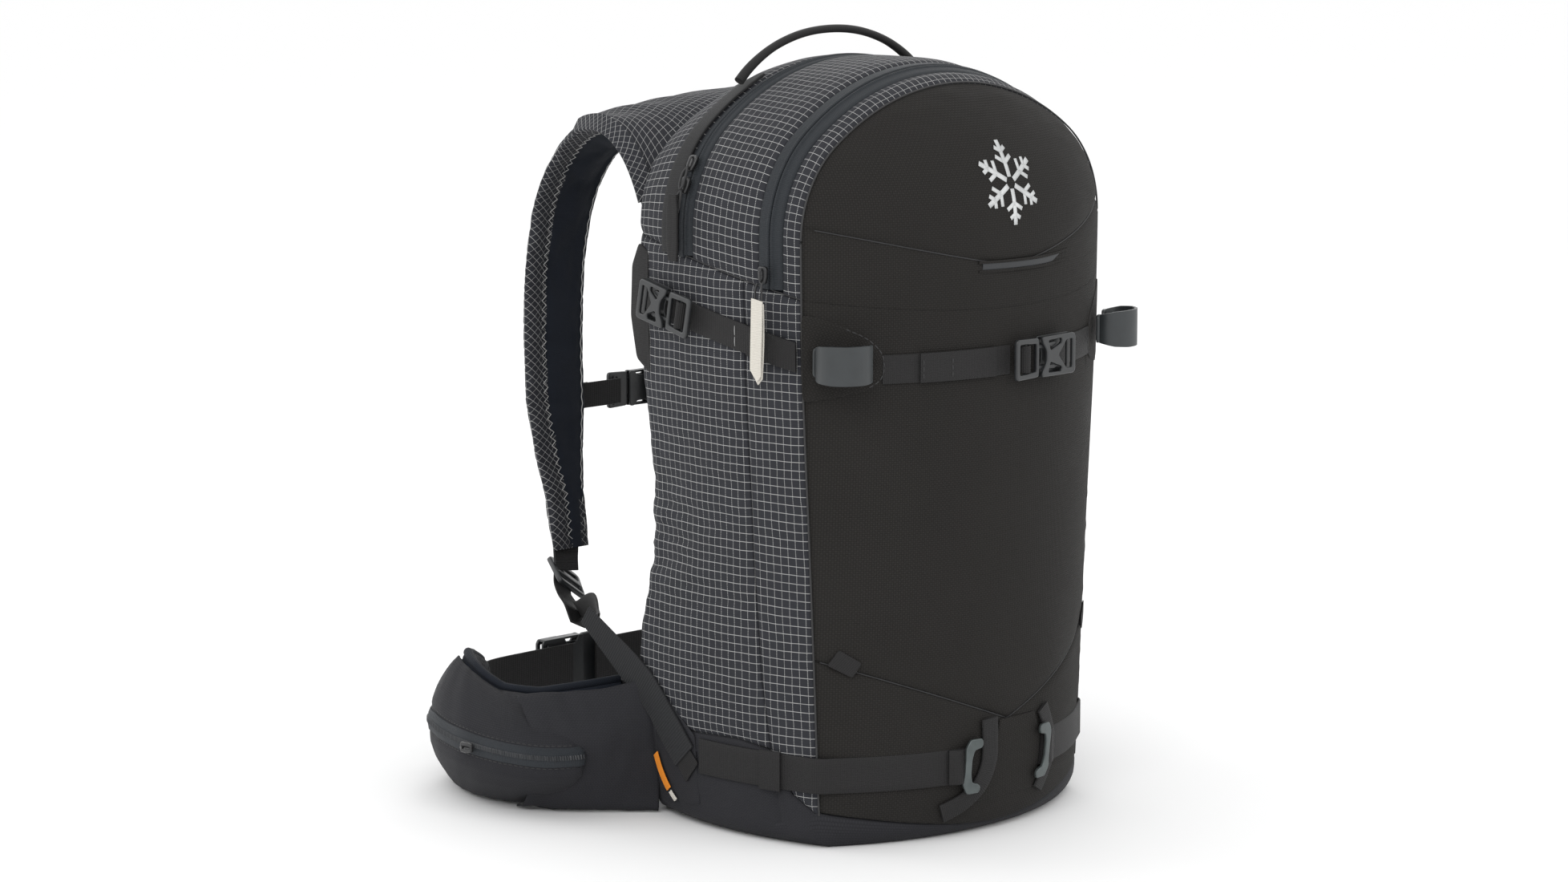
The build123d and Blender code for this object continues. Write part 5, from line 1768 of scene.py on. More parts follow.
side_x = np.tile([1.0, 0, 0], (130, 1))
for side, mirror in (("left", False), ("right", True)):
    body = "shoulder_" + side
    for name, offset, reach, step, lift in (
        ("binding", pad_xo + BINDING, 2.1, 3.4, 4.4), ("inner_edge", pad_xi - 4.5, 0.5, 5.0, 3.9)
    ):
        line = pad_line.copy()
        line[:, 0] = offset
        line = line - pad_out * lift * end_taper
        zigzag(f"pad_{name}_seam_{side}", flipped(line, mirror)[rows], flipped(side_x, mirror)[rows],
               -flipped(pad_out, mirror)[rows], reach, step, body)

# ------------------------------------------------------------------ yoke: collar cloth carried onto the straps
j = np.linspace(0, 1, 44)[:, None, None]
i = np.linspace(0, 1, 34)[None, :, None]
q_yoke = 428 + (OUTLINE / 2 - 428) * np.linspace(0, 1, 44) ** 0.9
v_yoke = 2.0 - 0.55 * np.clip(1 - j[:, 0, 0] / 0.3, 0, 1)
edge_bag = (band(q_yoke, v_yoke) + band_normal(q_yoke, v_yoke) * 1.4)[:, None]
edge_pad = np.stack([np.interp(j[:, 0, 0], [0, 0.12, 1], [-119, -112, -34]), 0 * j[:, 0, 0] + 196,
                     np.interp(j[:, 0, 0], [0, 0.12, 0.3, 1], [475, 484.5, 486.0, 486.0])], -1)[:, None]
near_arch = (1 - j) ** 2
leave = near_arch * np.array([10, 60, 150]) + (1 - near_arch) * np.array([0, 84, 8])
arrive = near_arch * np.array([32, 108, -40]) + (1 - near_arch) * np.array([6, 82, -52])
yoke = (2 * i**3 - 3 * i**2 + 1) * edge_bag + (i**3 - 2 * i**2 + i) * leave
yoke = yoke + (3 * i**2 - 2 * i**3) * edge_pad + (i**3 - i**2) * arrive
yoke_normal = grid_normals(yoke)
folds = 1.5 * np.sin(i[..., 0] * 9 + j[..., 0] * 7) * near(j[..., 0], 0.12, 0.16)
folds = folds * np.sin(i[..., 0] * math.pi)
folds += 0.9 * np.sin(j[..., 0] * 26 + i[..., 0] * 4) * near(i[..., 0], 0.62, 0.2)
yoke = yoke + yoke_normal * folds[..., None]
run_i = np.concatenate(
    [np.zeros((44, 1)), np.cumsum(np.linalg.norm(np.diff(yoke, axis=1), axis=2), axis=1)], 1
)
yoke_weave = np.stack([run_i, q_yoke[:, None] + 0 * run_i], -1)
arch = smooth_path(yoke[1], 90)
arch_side = np.gradient(yoke, axis=0)[1]
arch_side = smooth_path(arch_side / np.linalg.norm(arch_side, axis=1, keepdims=True), 90)
for side, mirror in (("left", False), ("right", True)):
    cloth_points = flipped(yoke, mirror)
    cloth_weave = yoke_weave
    if grid_normals(cloth_points)[20, 15][2] < 0:
        cloth_points, cloth_weave = cloth_points[::-1], cloth_weave[::-1]
    piece = sheet("yoke_cloth_" + side, cloth_points, cloth_weave, RIPSTOP, 0.3, 1.6)
    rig.slot(piece, "grid_ripstop")
    start, end = Vector((-90, 108, 500)) * MM, Vector((-90, 165, 490)) * MM
    if mirror:
        start.x, end.x = -start.x, -end.x
    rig.blend(piece, "root", "shoulder_" + side, start=start, end=end)
    line = flipped(arch, mirror)
    binding = ribbon(
        "yoke_binding_" + side, line + flipped(arch_side, mirror) * 4.0, flipped(arch_side, mirror), 6.8,
        RIPSTOP_BIAS, 3.4, count=90
    )
    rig.slot(binding, "grid_ripstop")
    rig.blend(binding, "root", "shoulder_" + side, start=start, end=end)

# ------------------------------------------------------------------ adjusters and their webbing
ALONG = np.array([0.82, 0, -0.57]) / np.linalg.norm([0.82, 0, -0.57])
PULLED = np.array([-0.35, -0.79, -0.50]) / np.linalg.norm([-0.35, -0.79, -0.50])
ADJUSTER = np.array([-73.0, 257, 138])
adjuster_out = np.cross(ALONG, PULLED)
for side, mirror in (("left", False), ("right", True)):
    place = frame_at(ADJUSTER, ALONG, adjuster_out, mirror)
    outline = rounded([(-18, -12), (-15, 13), (15, 13), (18, -12), (14, -14), (-14, -14)], 4)
    holes = [
        rounded([(-13.5, y0), (13.5, y0), (13.5, y1), (-13.5, y1)], 1.2) for y0, y1 in ((-9, -4), (2, 9))
    ]
    piece = plate("adjuster_plate_" + side, [outline, *holes], 4.0, place, ACETAL, 1.2)
    attach(piece, "shoulder_" + side, "buckle_plastic", ("adjuster_" + side,))
    tongue = [(-69, 264.5, 178), (-70, 262, 163), (-72, 259.5, 152), (-73, 257.5, 144)]
    piece = ribbon("pad_tongue_" + side, flipped(tongue, mirror), flipped(
        np.array([1.0, 0, -0.25]), mirror
    ), 12.5, WEBBING, 2.2,
                   halves=[15, 13, 12, 11.5], count=20)
    attach(piece, "shoulder_" + side, "webbing")
    over = [
        ADJUSTER + PULLED * d + adjuster_out * h for d,
        h in ((-6, -3.4), (-1.5, -0.5), (-0.6, 3.2), (6, 4.2), (14, 2.4))
    ]
    run = [*over, ADJUSTER + PULLED * 34 + adjuster_out * 1.5,
           np.array([-104, 192, 131.5]), np.array([-130, 162, 130]),
           np.array([-143, 148, 131])]
    acrosses = np.array([ALONG] * 5 + [
        ALONG * 0.85 + np.array([0, 0.2, -0.2]), (0.35, 0.1, -0.9), (0.1, 0.3, -0.95), (0.0, 0.4, -0.9)
    ])
    piece = ribbon("adjuster_web_" + side, flipped(np.array(run), mirror), flipped(acrosses, mirror),
                   10, WEBBING, 1.6,
                   halves=[10, 10, 10, 10, 10, 9, 7, 6, 6], count=110)
    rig.slot(piece, "webbing")
    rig.replaces(piece, *(["adjuster_webbing"] if side == "left" else []))
    a, b = Vector((-128, 165, 129)) * MM, Vector(ADJUSTER + PULLED * 12) * MM
    if mirror:
        a.x, b.x = -a.x, -b.x
    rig.blend(piece, "root", "shoulder_" + side, start=a, end=b)
    tail = [ADJUSTER + PULLED * d + adjuster_out * h for d, h in ((-5, 3.0), (4, 6.5), (16, 7.5), (30, 6.0))]
    tail += [ADJUSTER + PULLED * 40 + adjuster_out * 4 + np.array([0, 0, -6])]
    piece = ribbon(
        "adjuster_tail_" + side, flipped(np.array(tail), mirror), flipped(ALONG, mirror), 10, WEBBING, 1.5,
        count=40
    )
    attach(piece, "shoulder_" + side, "webbing")

# ------------------------------------------------------------------ sternum strap
for side, mirror in (("left", False), ("right", True)):
    clip_line = [(-80, 257.5), (-56, 257.5), (-56, 278.5), (-80, 278.5)]
    window = [(-63.5, 259.5), (-59.5, 259.5), (-59.5, 276.5), (-63.5, 276.5)]

    def rail_place(p, mirror=mirror):
        return flipped(np.stack([p[:, 0], 283.2 + p[:, 2], p[:, 1]], -1), mirror)

    piece = plate(
        "sternum_rail_clip_" + side, [rounded(clip_line, 3), rounded(window, 1)], 3.6, rail_place, ACETAL, 0.9
    )
    body = "sternum_" + side
    attach(piece, body, "buckle_plastic")
    if side == "left":
        ends = [(-61, 283, 268), (-58, 285.4, 268), (-30, 285, 268), (0, 285, 268), (8, 285.5, 268)]
        tail_line = [(-52, 287.3, 268), (-38, 287.4, 267.6), (-24, 287.0, 268)]
    else:
        ends = [(61, 283, 268), (58, 285.2, 268), (52, 285, 268), (45, 285.2, 268)]
        tail_line = None
    piece = ribbon("sternum_web_" + side, ends, (0, 0, 1), 9.6, WEBBING, 1.6, count=30)
    attach(piece, body, "webbing", ("sternum_strap_" + side,))
    if tail_line:
        attach(ribbon("sternum_tail", tail_line, (0, 0, 1), 9.6, WEBBING, 1.5, count=20), body, "webbing")
buckle("chest_buckle", (20, 286.6, 268), (1, 0, 0), (0, 1, 0), 27, 30, 20, 17, 8,
       ("sternum_right", "chest_clip"), (["sternum_socket"], ["sternum_clip"]), solid=True)

# ------------------------------------------------------------------ hip belt
WING_PATH = [(-129, 139.5), (-158, 156), (-178, 190), (-180, 228), (-160, 268), (-122, 298)]
WING_TOP = [(90, 94), (140, 88), (176, 80), (205, 80), (240, 90), (265, 94), (282, 88), (300, 76), (330, 62)]
BULGE = [(-193, 110), (-222, 130), (-236, 178), (-225, 228), (-192, 274)]
SHARES = [
    (0.0, 0.05), (0.6, 0.2), (3, 0.34), (12, 0.55), (22, 0.75), (34, 0.93), (45, 1.0), (53, 0.98), (62, 0.83)
]
SHARES += [(70, 0.62), (77, 0.41), (82, 0.25), (85, 0.13), (86.5, 0.04)]
wing = smooth_path([(x, y, 0) for x, y in WING_PATH], 90)
wing_ahead = np.gradient(wing, axis=0)
wing_ahead /= np.linalg.norm(wing_ahead, axis=1, keepdims=True)
wing_out = np.cross(np.array([0, 0, 1.0]), wing_ahead)
if wing_out[40][0] > 0:
    wing_out = -wing_out
wing_top = table_at(WING_TOP, wing[:, 1])
wing_s = lengths(wing)
turn = np.linspace(0, 2 * math.pi, 48, endpoint=False)
loop_h = np.sign(np.cos(turn)) * np.abs(np.cos(turn)) ** 0.55
loop_z = np.sign(np.sin(turn)) * np.abs(np.sin(turn)) ** 0.35
wing_rings = wing[:, None] + wing_out[:, None] * (loop_h * 6.6)[None, :, None]
wing_z = 2 + (wing_top[:, None] - 2) * (0.5 + 0.5 * loop_z[None, :])
wing_rings[..., 2] = wing_z
wing_weave = np.stack(np.broadcast_arrays(wing_s[:, None], wing_z, 0.0), -1)
wing_piece = tube_mesh("hip_wing_cloth_left", wing_rings, wing_weave, [FOAM, NAVY],
                       np.tile((loop_h > 0.2).astype(int), (89, 1)))
wing_seams = (np.abs(loop_z)[None, :] > 0.97) | (np.abs(np.mod(wing_s[:, None], 62) - 31) < 1.6)
wing_seams[:2] = wing_seams[-2:] = True
puffed(wing_piece, wing_seams.ravel(), 3.0, 12, 3.0)
inner_pts = [(w[0], w[1], 0) for w in (wing + wing_out * 7.0)[22:]]
pouch_inner = smooth_path(inner_pts[::6] + [inner_pts[-1]], 90)
pouch_outer = smooth_path([inner_pts[0]] + [(x, y, 0) for x, y in BULGE] + [inner_pts[-1]], 90)
pouch_top = table_at(WING_TOP, pouch_inner[:, 1]) - 1.0
levels = np.concatenate([[0.0], np.linspace(0.6, 86.5, 40)])
level_share = table_at(SHARES, levels)[:, None, None]
pouch = pouch_inner[None] + (pouch_outer - pouch_inner)[None] * level_share
pouch[..., 2] = 1.2 + levels[:, None] / 86.5 * (pouch_top[None, :] - 1.2)
pouch_s = lengths(pouch_outer)
pouch_weave = np.stack(np.broadcast_arrays(pouch_s[None, :], levels[:, None]), -1)
pouch_normal = grid_normals(pouch)
if pouch_normal[20, 45][0] > 0:
    pouch_normal = -pouch_normal
zip_level = 50.0
swell = 2.4 * np.sin(np.clip((levels - zip_level - 6) / 34, 0, 1) * math.pi)[:, None]
swell = swell + 1.6 * np.sin(np.clip((zip_level - 6 - levels) / 44, 0, 1) * math.pi)[:, None]
creases = field(
    np.stack(np.broadcast_arrays(pouch_s[None, :], levels[:, None] * 0.45, 0 * pouch_s[None, :]), -1), 17, 3.0
)
root_folds = near(pouch_s[None, :], 14, 26) * 1.5 + near(pouch_s[None, :], pouch_s[-1] - 6, 22) * 1.1
tuck = near(levels[:, None], zip_level + 7, 1.3) + near(levels[:, None], zip_level - 7, 1.3)
pouch = pouch + pouch_normal * (swell + creases * (0.7 + root_folds) - 0.9 * tuck)[..., None]
pouch[..., 2] = np.maximum(pouch[..., 2], 0.6)
for side, mirror in (("left", False), ("right", True)):
    body = "hip_" + side
    if mirror:
        piece = mirror_piece(wing_piece, "hip_wing_cloth_right")
    else:
        piece = wing_piece
    attach(piece, body, "lining", ("hip_wing_" + side,))
    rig.padded(piece, 0.7)
    points, weave = flipped(pouch, mirror), pouch_weave
    check = grid_normals(points)[20, 45][0]
    if (check > 0) != mirror:
        points, weave = points[::-1], weave[::-1]
    shell = sheet("hip_pouch_cloth_" + side, points, weave, PACKCLOTH, 0.35, 1.4)
    attach(shell, body, "ballistic", ("hip_pouch_" + side,))
    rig.padded(shell, 0.4)
    rim = wing.copy()
    rim[:, 2] = wing_top + 0.3
    attach(
        tube("hip_rim_" + side, flipped(rim + wing_out * 1.0, mirror), 3.4, NAVY_RIM, 12, 120), body, "lining"
    )

    def zip_place(along, across, lift, mirror=mirror):
        k = np.interp(along, pouch_s, np.arange(90.0))
        level = np.clip(zip_level + across, 0, 86)
        row = np.interp(level, levels, np.arange(41.0))
        k0, r0 = np.clip(k.astype(int), 0, 88), np.clip(row.astype(int), 0, 39)
        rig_, fr = (k - k0)[..., None], (row - r0)[..., None]
        p = (pouch[r0, k0] * (1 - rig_) + pouch[r0, k0 + 1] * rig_) * (1 - fr)
        p = p + (pouch[r0 + 1, k0] * (1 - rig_) + pouch[r0 + 1, k0 + 1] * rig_) * fr
        return flipped(p + pouch_normal[r0, k0] * np.asarray(lift)[..., None], mirror)

    run = np.linspace(7, pouch_s[-1] - 12, 160)
    band_piece = strap_on("hip_zip_tape_" + side, zip_place, run, 6.6, TAPE, 0.2, 1.2)
    attach(band_piece, body, "zip_tape")
    fine = np.linspace(12, pouch_s[-1] - 16, int(pouch_s[-1] * 2.2))
    ripple = 1.75 + 0.28 * np.sin(fine * 2 * math.pi / 1.8)
    coil = strap_on(
        "hip_zip_coil_" + side, lambda a, b, c: zip_place(a, b, c * np.interp(a, fine, ripple) / 1.75), fine,
        1.7, COIL, 1.0, 1.0
    )
    attach(coil, body, "zip_tape")
    for k, level in enumerate((8.0, -8.2)):
        line = zip_place(run, np.full(160, level), np.full(160, 0.3))
        attach(
            stitches(
                f"hip_zip_stitch_{side}_{k}", line, flipped(np.tile([-1.0, 0, 0.2], (len(run), 1)), mirror),
                THREAD, 3.0, 1.2
            ),
            body
        )
    slider_place = frame_at((-239.3, 178, 50), (0, 1, 0), (-1, 0, 0), mirror)
    core = slider_piece("hip_slider_body_" + side, slider_place, "hip_zip_" + side, "hip_slider_" + side)
    if mirror:
        core.data.flip_normals()
    web = [(-124, 306, 52), (-96, 317, 52), (-60, 319.5, 52), (-12, 319.5, 52)]
    piece = ribbon("hip_web_" + side, flipped(np.array(web), mirror), (0, 0, 1), 19, WEBBING, 1.8, count=60)
    attach(piece, body, "webbing", ("hip_webbing_" + side,))
buckle("waist_buckle", (2, 321.4, 52), (-1, 0, 0), (0, 1, 0), 48, 42, 30, 24, 10,
       ("hip_left", "waist_clip"), (["hip_socket"], ["hip_clip"]), solid=True)

# the cloth that joins each pouch to the bag's rear corner
span = smooth_path([(-140, 86, 0), (-156, 95, 0), (-176, 107, 0), (-196, 121, 0), (-212, 137, 0)], 46)
height_rows = np.linspace(0, 1, 34)
share = table_at([(r[0] / 86.5, r[1]) for r in SHARES], height_rows)
root_cloth = np.repeat(span[None], 34, axis=0)
pull_in = (1 - share)[:, None] * np.interp(np.linspace(0, 1, 46), [0, 0.3, 1], [6, 22, 60])[None, :] * 0.62
root_cloth[..., 1] += pull_in
root_cloth[..., 0] += pull_in * 0.35
root_cloth[..., 2] = 1.5 + height_rows[:, None] * np.interp(
    np.linspace(0, 1, 46), [0, 0.4, 1], [98, 88, 82]
)[None, :]
wrinkle = field(
    np.stack(np.broadcast_arrays(lengths(span)[None, :] * 1.0, root_cloth[..., 2] * 0.5, 0 * pull_in), -1),
    12, 5.0
)
root_normal = grid_normals(root_cloth)
root_cloth = root_cloth + root_normal * (1.5 * wrinkle)[..., None]
root_weave = np.stack(np.broadcast_arrays(lengths(span)[None, :], root_cloth[..., 2]), -1)
for side, mirror in (("left", False), ("right", True)):
    points, weave = flipped(root_cloth, mirror), root_weave
    if grid_normals(points)[15, 20][1] > 0:
        points, weave = points[::-1], weave[::-1]
    piece = sheet("hip_root_cloth_" + side, points, weave, PACKCLOTH, 0.0, 1.4)
    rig.slot(piece, "ballistic")
    a, b = Vector((-144, 98, 45)) * MM, Vector((-196, 114, 45)) * MM
    if mirror:
        a.x, b.x = -a.x, -b.x
    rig.blend(piece, "root", "hip_" + side, start=a, end=b)
    roots = [(-92, 133.5, 0), (-110, 134.8, 0), (-129, 139.5, 0)]
    line = smooth_path(roots, 30)
    ahead = np.gradient(line, axis=0)
    ahead /= np.linalg.norm(ahead, axis=1, keepdims=True)
    out = np.cross(np.array([0, 0, 1.0]), ahead)
    rings = line[:, None] + out[:, None] * (loop_h * 6.4)[None, :, None]
    rings[..., 2] = 2 + 86 * (0.5 + 0.5 * loop_z[None, :])
    weave = np.stack(np.broadcast_arrays(lengths(line)[:, None], rings[..., 2], 0.0), -1)
    piece = tube_mesh(
        "hip_belt_root_" + side, flipped(rings, mirror), weave, [PACKCLOTH, PACKCLOTH],
        np.zeros((29, 48), int)
    )
    attach(piece, "root", "lining", ("hip_belt_roots",) if side == "left" else ())
    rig.padded(piece, 0.7)


# ------------------------------------------------------------------ side gussets, tags and rear tabs
def corner_at(y, z, lift):
    """The side carried straight back beyond the bag's rear corner."""
    held = np.minimum(y, 86.0)
    side = side_at(held, z, lift)
    beyond = np.clip((y - 86.0) / 30.0, 0, 1)
    side[..., 0] += (-147.5 - lift * 0.5 - side[..., 0]) * beyond * beyond * (3 - 2 * beyond)
    side[..., 1] += np.maximum(y - 86.0, 0)
    return side


sewn_edge = [(40, 66), (64, 84), (86, 100), (86, 30), (62, 13), (38, 16)]
band_path = smooth_path([(50, 50), (68, 70), (88, 91), (112, 108), (134, 123), (153, 136)], 70)
band_s = lengths(band_path)
band_go = np.gradient(band_path, axis=0)
band_go /= np.linalg.norm(band_go, axis=1, keepdims=True)
band_width = np.interp(np.linspace(0, 1, 70), [0, 0.15, 0.6, 1], [13, 13.5, 12, 7.5])


def gusset_band(along, across, lift):
    y = np.interp(along, band_s, band_path[:, 0]) - np.interp(along, band_s, band_go[:, 1]) * across
    z = np.interp(along, band_s, band_path[:, 1]) + np.interp(along, band_s, band_go[:, 0]) * across
    return corner_at(y, z, lift)


tag_path = smooth_path([(84, 47), (79, 34), (69, 20), (60, 12.5)], 40)
for side, mirror in (("left", False), ("right", True)):
    patch = fan_patch("gusset_cloth_" + side, sewn_edge, on_side(1.6), PACKCLOTH, 1.6, 0.6, 3)
    strip = strap_on("gusset_band_" + side, gusset_band, band_s, 13, GUSSET, 2.4, 1.8, band_width)
    edge = smooth_path([(84, 52), (80, 36), (70, 21), (58, 11.5)], 40)
    parts = [patch, strip]
    for name, low, high, material in (
        ("gusset_tag_orange", 1, 28, ORANGE), ("gusset_tag_grey", 30, 38, PULL)
    ):
        s = lengths(tag_path)

        def tag_place(along, across, lift, s=s):
            y = np.interp(along, s, tag_path[:, 0]) + across * 0.8
            z = np.interp(along, s, tag_path[:, 1]) - across * 0.6
            return side_at(y, z, lift)

        parts.append(strap_on(
            f"{name}_{side}", tag_place, np.linspace(low, high, 24), 3.2 if low < 10 else 2.0, material, 3.0,
            1.0
        ))
    rear_tab = fan_patch("rear_tab_" + side, [
        (88, 402), (98, 408), (106, 392), (108, 356), (102, 326), (88, 316)
    ],
                         lambda y, z, lift: corner_at(y - 4, z, 1.8 + lift), WEBBING, 1.8, 0, 3)
    parts.append(rear_tab)
    for piece in parts:
        if mirror:
            piece.data.transform(Matrix.Scale(-1, 4, (1, 0, 0)))
            piece.data.flip_normals()
        first = piece is patch and not mirror
        attach(
            piece, "root", "webbing" if piece is not patch else "ballistic",
            ("side_gussets",) if first else ()
        )


# ------------------------------------------------------------------ back pads and inner parts
def cushion(name, half_x, low, high, deep, face, channels, body="root", count=(70, 90)):
    """A moulded pad on the wearer's side: rounded outline, grooves along the channels."""
    u = np.linspace(-1, 1, count[0])[None, :]
    v = np.linspace(-1, 1, count[1])[:, None]
    squeeze = 1 - 0.06 * (np.abs(v) ** 6)
    x = half_x * u * squeeze + 0 * v
    z = (low + high) / 2 + (high - low) / 2 * v * (1 - 0.05 * np.abs(u) ** 6)
    rim_x = (1 - np.abs(u)) * half_x
    rim_z = (1 - np.abs(v)) * (high - low) / 2
    rim = np.minimum(rim_x, rim_z)
    dome = np.clip(rim / 14, 0, 1)
    lift = deep * np.sqrt(np.clip(1 - (1 - dome) ** 2, 0, 1))
    for kind, centre, width, drop in channels:
        groove = near(x if kind == "x" else z, centre, width)
        lift = lift - drop * groove * np.clip(rim / 20, 0, 1)
    y = face + np.maximum(lift, 0.0)
    points = np.stack([x, y, z], -1)[:, ::-1]
    weave = np.stack([x, z], -1)[:, ::-1]
    if grid_normals(points)[40, 30][1] < 0:
        points, weave = points[::-1], weave[::-1]
    piece = sheet(name, points, weave, FOAM, 0.2, 2.4)
    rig.padded(piece, 0.8)
    return attach(piece, body, "back_foam")


back_pad = cushion("back_panel_pad", 108, 128, 488, 14.0, 104.4,
                   [("x", 0, 9, 9), ("z", 216, 6, 6), ("z", 306, 6, 6), ("z", 396, 6, 6)])
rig.replaces(back_pad, "back_panel")
lumbar = cushion(
    "lumbar_pad_cloth", 92, 14, 118, 19.5, 105.0, [("x", 0, 9, 8), ("z", 66, 6, 5)], count=(60, 50)
)
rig.replaces(lumbar, "lumbar_pad")
x, z = np.meshgrid(np.linspace(-84, 84, 50), np.linspace(121, 429, 80))
y = 80.2 + 1.6 * np.cos(x / 84 * math.pi / 2) - 1.4 * near(z, 426, 5) * np.cos(x * 0.35)
front_face = np.stack([x, y, z], -1)
piece = sheet("hydration_sleeve_cloth", front_face, np.stack([x, z], -1), NAVY, 0.3, 1.2)
attach(piece, "root", "lining", ("hydration_sleeve",))
binding = ribbon(
    "sleeve_binding", [(-84, 81, 428), (-40, 81.6, 428), (0, 81.8, 428), (40, 81.6, 428), (84, 81, 428)],
    (0, 0, 1), 6, WEBBING, 2.0, count=40
)
attach(binding, "root", "webbing")
for name, material, slot_name in (("frame_sheet", SHEET, "frame_plastic"), ("frame_stay", STAY, "aluminium")):
    node = bpy.data.objects[name]
    node.data.materials.clear()
    node.data.materials.append(material)
    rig.slot(node, slot_name)


# ------------------------------------------------------------------ lining gussets that open with the lids
def gusset_fan(name, y0, y1, lift, body, lid, mirror):
    """A pleat along the side fold that spreads into a fan between two bodies."""
    y = np.linspace(y0, y1, 36)[None, :]
    rise = np.linspace(-2.0, 2.0, 17)[:, None]
    fold = fold_z(y)
    points = side_at(y - 0.2 * rise, fold + 0.98 * rise, np.full((17, 36), lift))
    points = flipped(points, mirror)
    weave = np.stack(np.broadcast_arrays(y, rise * 20), -1)
    if (grid_normals(points)[8, 18][0] > 0) != mirror:
        points, weave = points[::-1], weave[::-1]
    piece = sheet(name, points, weave, NAVY, 0.0, 0.5)
    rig.slot(piece, "lining")
    middle = np.array([points[8, 18][0], (y0 + y1) / 2, float(fold_z((y0 + y1) / 2))])
    up = np.array([0, -0.2, 0.98])
    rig.blend(piece, body, lid, start=Vector(middle - up * 1.8) * MM, end=Vector(middle + up * 1.8) * MM)


for side, mirror in (("left", False), ("right", True)):
    gusset_fan("main_gusset_" + side, -61, MAIN_ZIP_Y - 1.5, -3.2, "root", "main_lid", mirror)
    gusset_fan("pocket_gusset_" + side, -61, POCKET_ZIP_Y - 1.5, -4.6, "main_lid", "pocket_flap", mirror)

# the cloth walls of the tool pocket: one below the fold, one across the hood above it
WALL_INSET = 3.6  # how far the walls' edges stay inside the outer cloth


def wall_cloth(name, x, z, y, seed, body, nodes=()):
    """An upright cloth wall across the bag, a little slack, facing the tool pocket."""
    slack = 0.9 * field(
        np.stack([x, 0 * x, z], -1), 60, seed
    ) + 0.35 * field(np.stack([x, 0 * x, z], -1), 19, seed)
    points = np.stack([x, y + slack, z], -1)
    weave = np.stack([x, z], -1)
    if grid_normals(points)[4, 4][1] > 0:
        points, weave = points[::-1], weave[::-1]
    return attach(sheet(name, points, weave, NAVY, 0.0, 1.2), body, "lining", nodes)


rise, across = np.linspace(0, 1, 90)[:, None], np.linspace(-1, 1, 60)[None, :]
wall_z = 20.0 + rise * (float(fold_z(-40.0)) - 1.0 - 20.0)
wall_half = -side_at(np.full(90, -40.0), wall_z[:, 0], np.full(90, -WALL_INSET))[:, 0]
wall_x, wall_z = np.broadcast_arrays(across * wall_half[:, None], wall_z)
wall_cloth("pocket_divider_cloth", wall_x, wall_z, -40.6, 3.0, "root", ("pocket_divider",))

arch_q = np.linspace(SPRING, OUTLINE - SPRING, 240)
arch_line = side_at(np.full(240, -38.0), arch_q, np.full(240, -WALL_INSET))
arch_order = np.argsort(arch_line[:, 0])
hood_half = -side_at(
    np.full(40, -38.0), np.linspace(float(fold_z(-38.0)), SPRING, 40), np.full(40, -WALL_INSET)
)[:, 0].max()
hood_x = np.linspace(-1, 1, 90)[None, :] * (abs(hood_half) - 0.4)
hood_top = np.interp(hood_x[0], arch_line[arch_order, 0], arch_line[arch_order, 2])[None, :]
hood_low = float(fold_z(-38.0)) + 1.0
hood_x, hood_z = np.broadcast_arrays(
    hood_x, hood_low + np.linspace(0, 1, 60)[:, None] * (hood_top - hood_low)
)
wall_cloth("hood_wall_cloth", hood_x, hood_z, -38.4, 8.0, "main_lid")


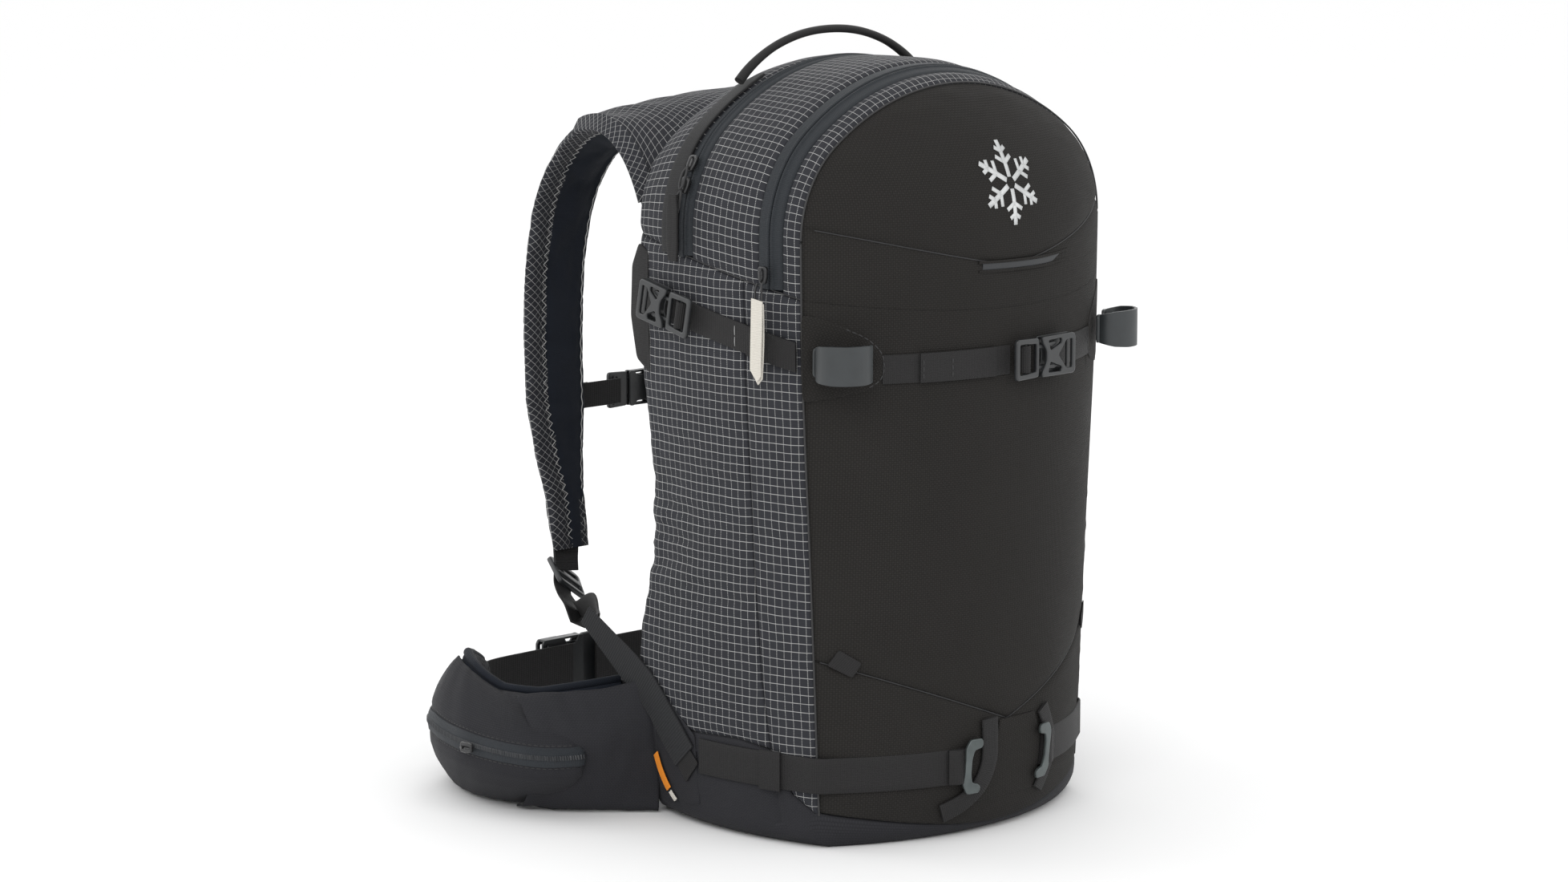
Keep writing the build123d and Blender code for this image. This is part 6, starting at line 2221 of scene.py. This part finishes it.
# ------------------------------------------------------------------ camera, light and floor
AIM = Vector((-51, 51, 262)) * MM
DISTANCE, TURN, LIFT_ANGLE, LENS = 3.0, -45.0, 9.0, 97.18
turn, tip = math.radians(TURN), math.radians(LIFT_ANGLE)
away = Vector((math.sin(turn) * math.cos(tip), -math.cos(turn) * math.cos(tip), math.sin(tip)))
camera = bpy.data.objects.new("camera", bpy.data.cameras.new("camera"))
bpy.context.scene.collection.objects.link(camera)
camera.location = AIM + away * DISTANCE
camera.rotation_euler = (-away).to_track_quat("-Z", "Y").to_euler()
camera.data.lens = LENS
camera.data.sensor_width = 36.0
bpy.context.scene.camera = camera

floor_mesh = bpy.data.meshes.new("floor")
FLOOR = 14.0
floor_mesh.from_pydata(
    [(-FLOOR, -FLOOR, 0), (FLOOR, -FLOOR, 0), (FLOOR, FLOOR, 0), (-FLOOR, FLOOR, 0)], [], [(0, 1, 2, 3)]
)
floor = bpy.data.objects.new("floor", floor_mesh)
bpy.context.scene.collection.objects.link(floor)
pale = Shader("floor_pale")
pale.set(Base_Color=(0.9, 0.9, 0.9, 1), Roughness=0.9)
floor_mesh.materials.append(pale.material)
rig.stage(floor)

world = bpy.data.worlds.new("studio")
world.use_nodes = True
world.node_tree.nodes["Background"].inputs[0].default_value = (1, 1, 1, 1)
world.node_tree.nodes["Background"].inputs[1].default_value = 1.1
bpy.context.scene.world = world
bpy.context.scene.view_settings.view_transform = "Standard"


def lamp(name, place, size, power):
    data = bpy.data.lights.new(name, "AREA")
    data.shape = "RECTANGLE"
    data.size, data.size_y = size
    data.energy = power
    light = bpy.data.objects.new(name, data)
    light.location = place
    light.rotation_euler = (AIM - Vector(place)).to_track_quat("-Z", "Y").to_euler()
    bpy.context.scene.collection.objects.link(light)


lamp("key", (-2.6, -1.6, 2.4), (1.8, 1.8), 30)
lamp("fill", (1.0, -3.0, 1.3), (2.0, 1.6), 7)
lamp("rim", (2.2, 1.8, 1.8), (1.2, 1.8), 8)
lamp("back", (-1.4, 2.6, 1.6), (1.6, 1.6), 12)

# ------------------------------------------------------------------ close
box_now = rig.bounds()
with open("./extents.json", "w") as out:
    json.dump({"cad": [list(c) for c in cad_box], "visual": [list(c) for c in box_now]}, out)
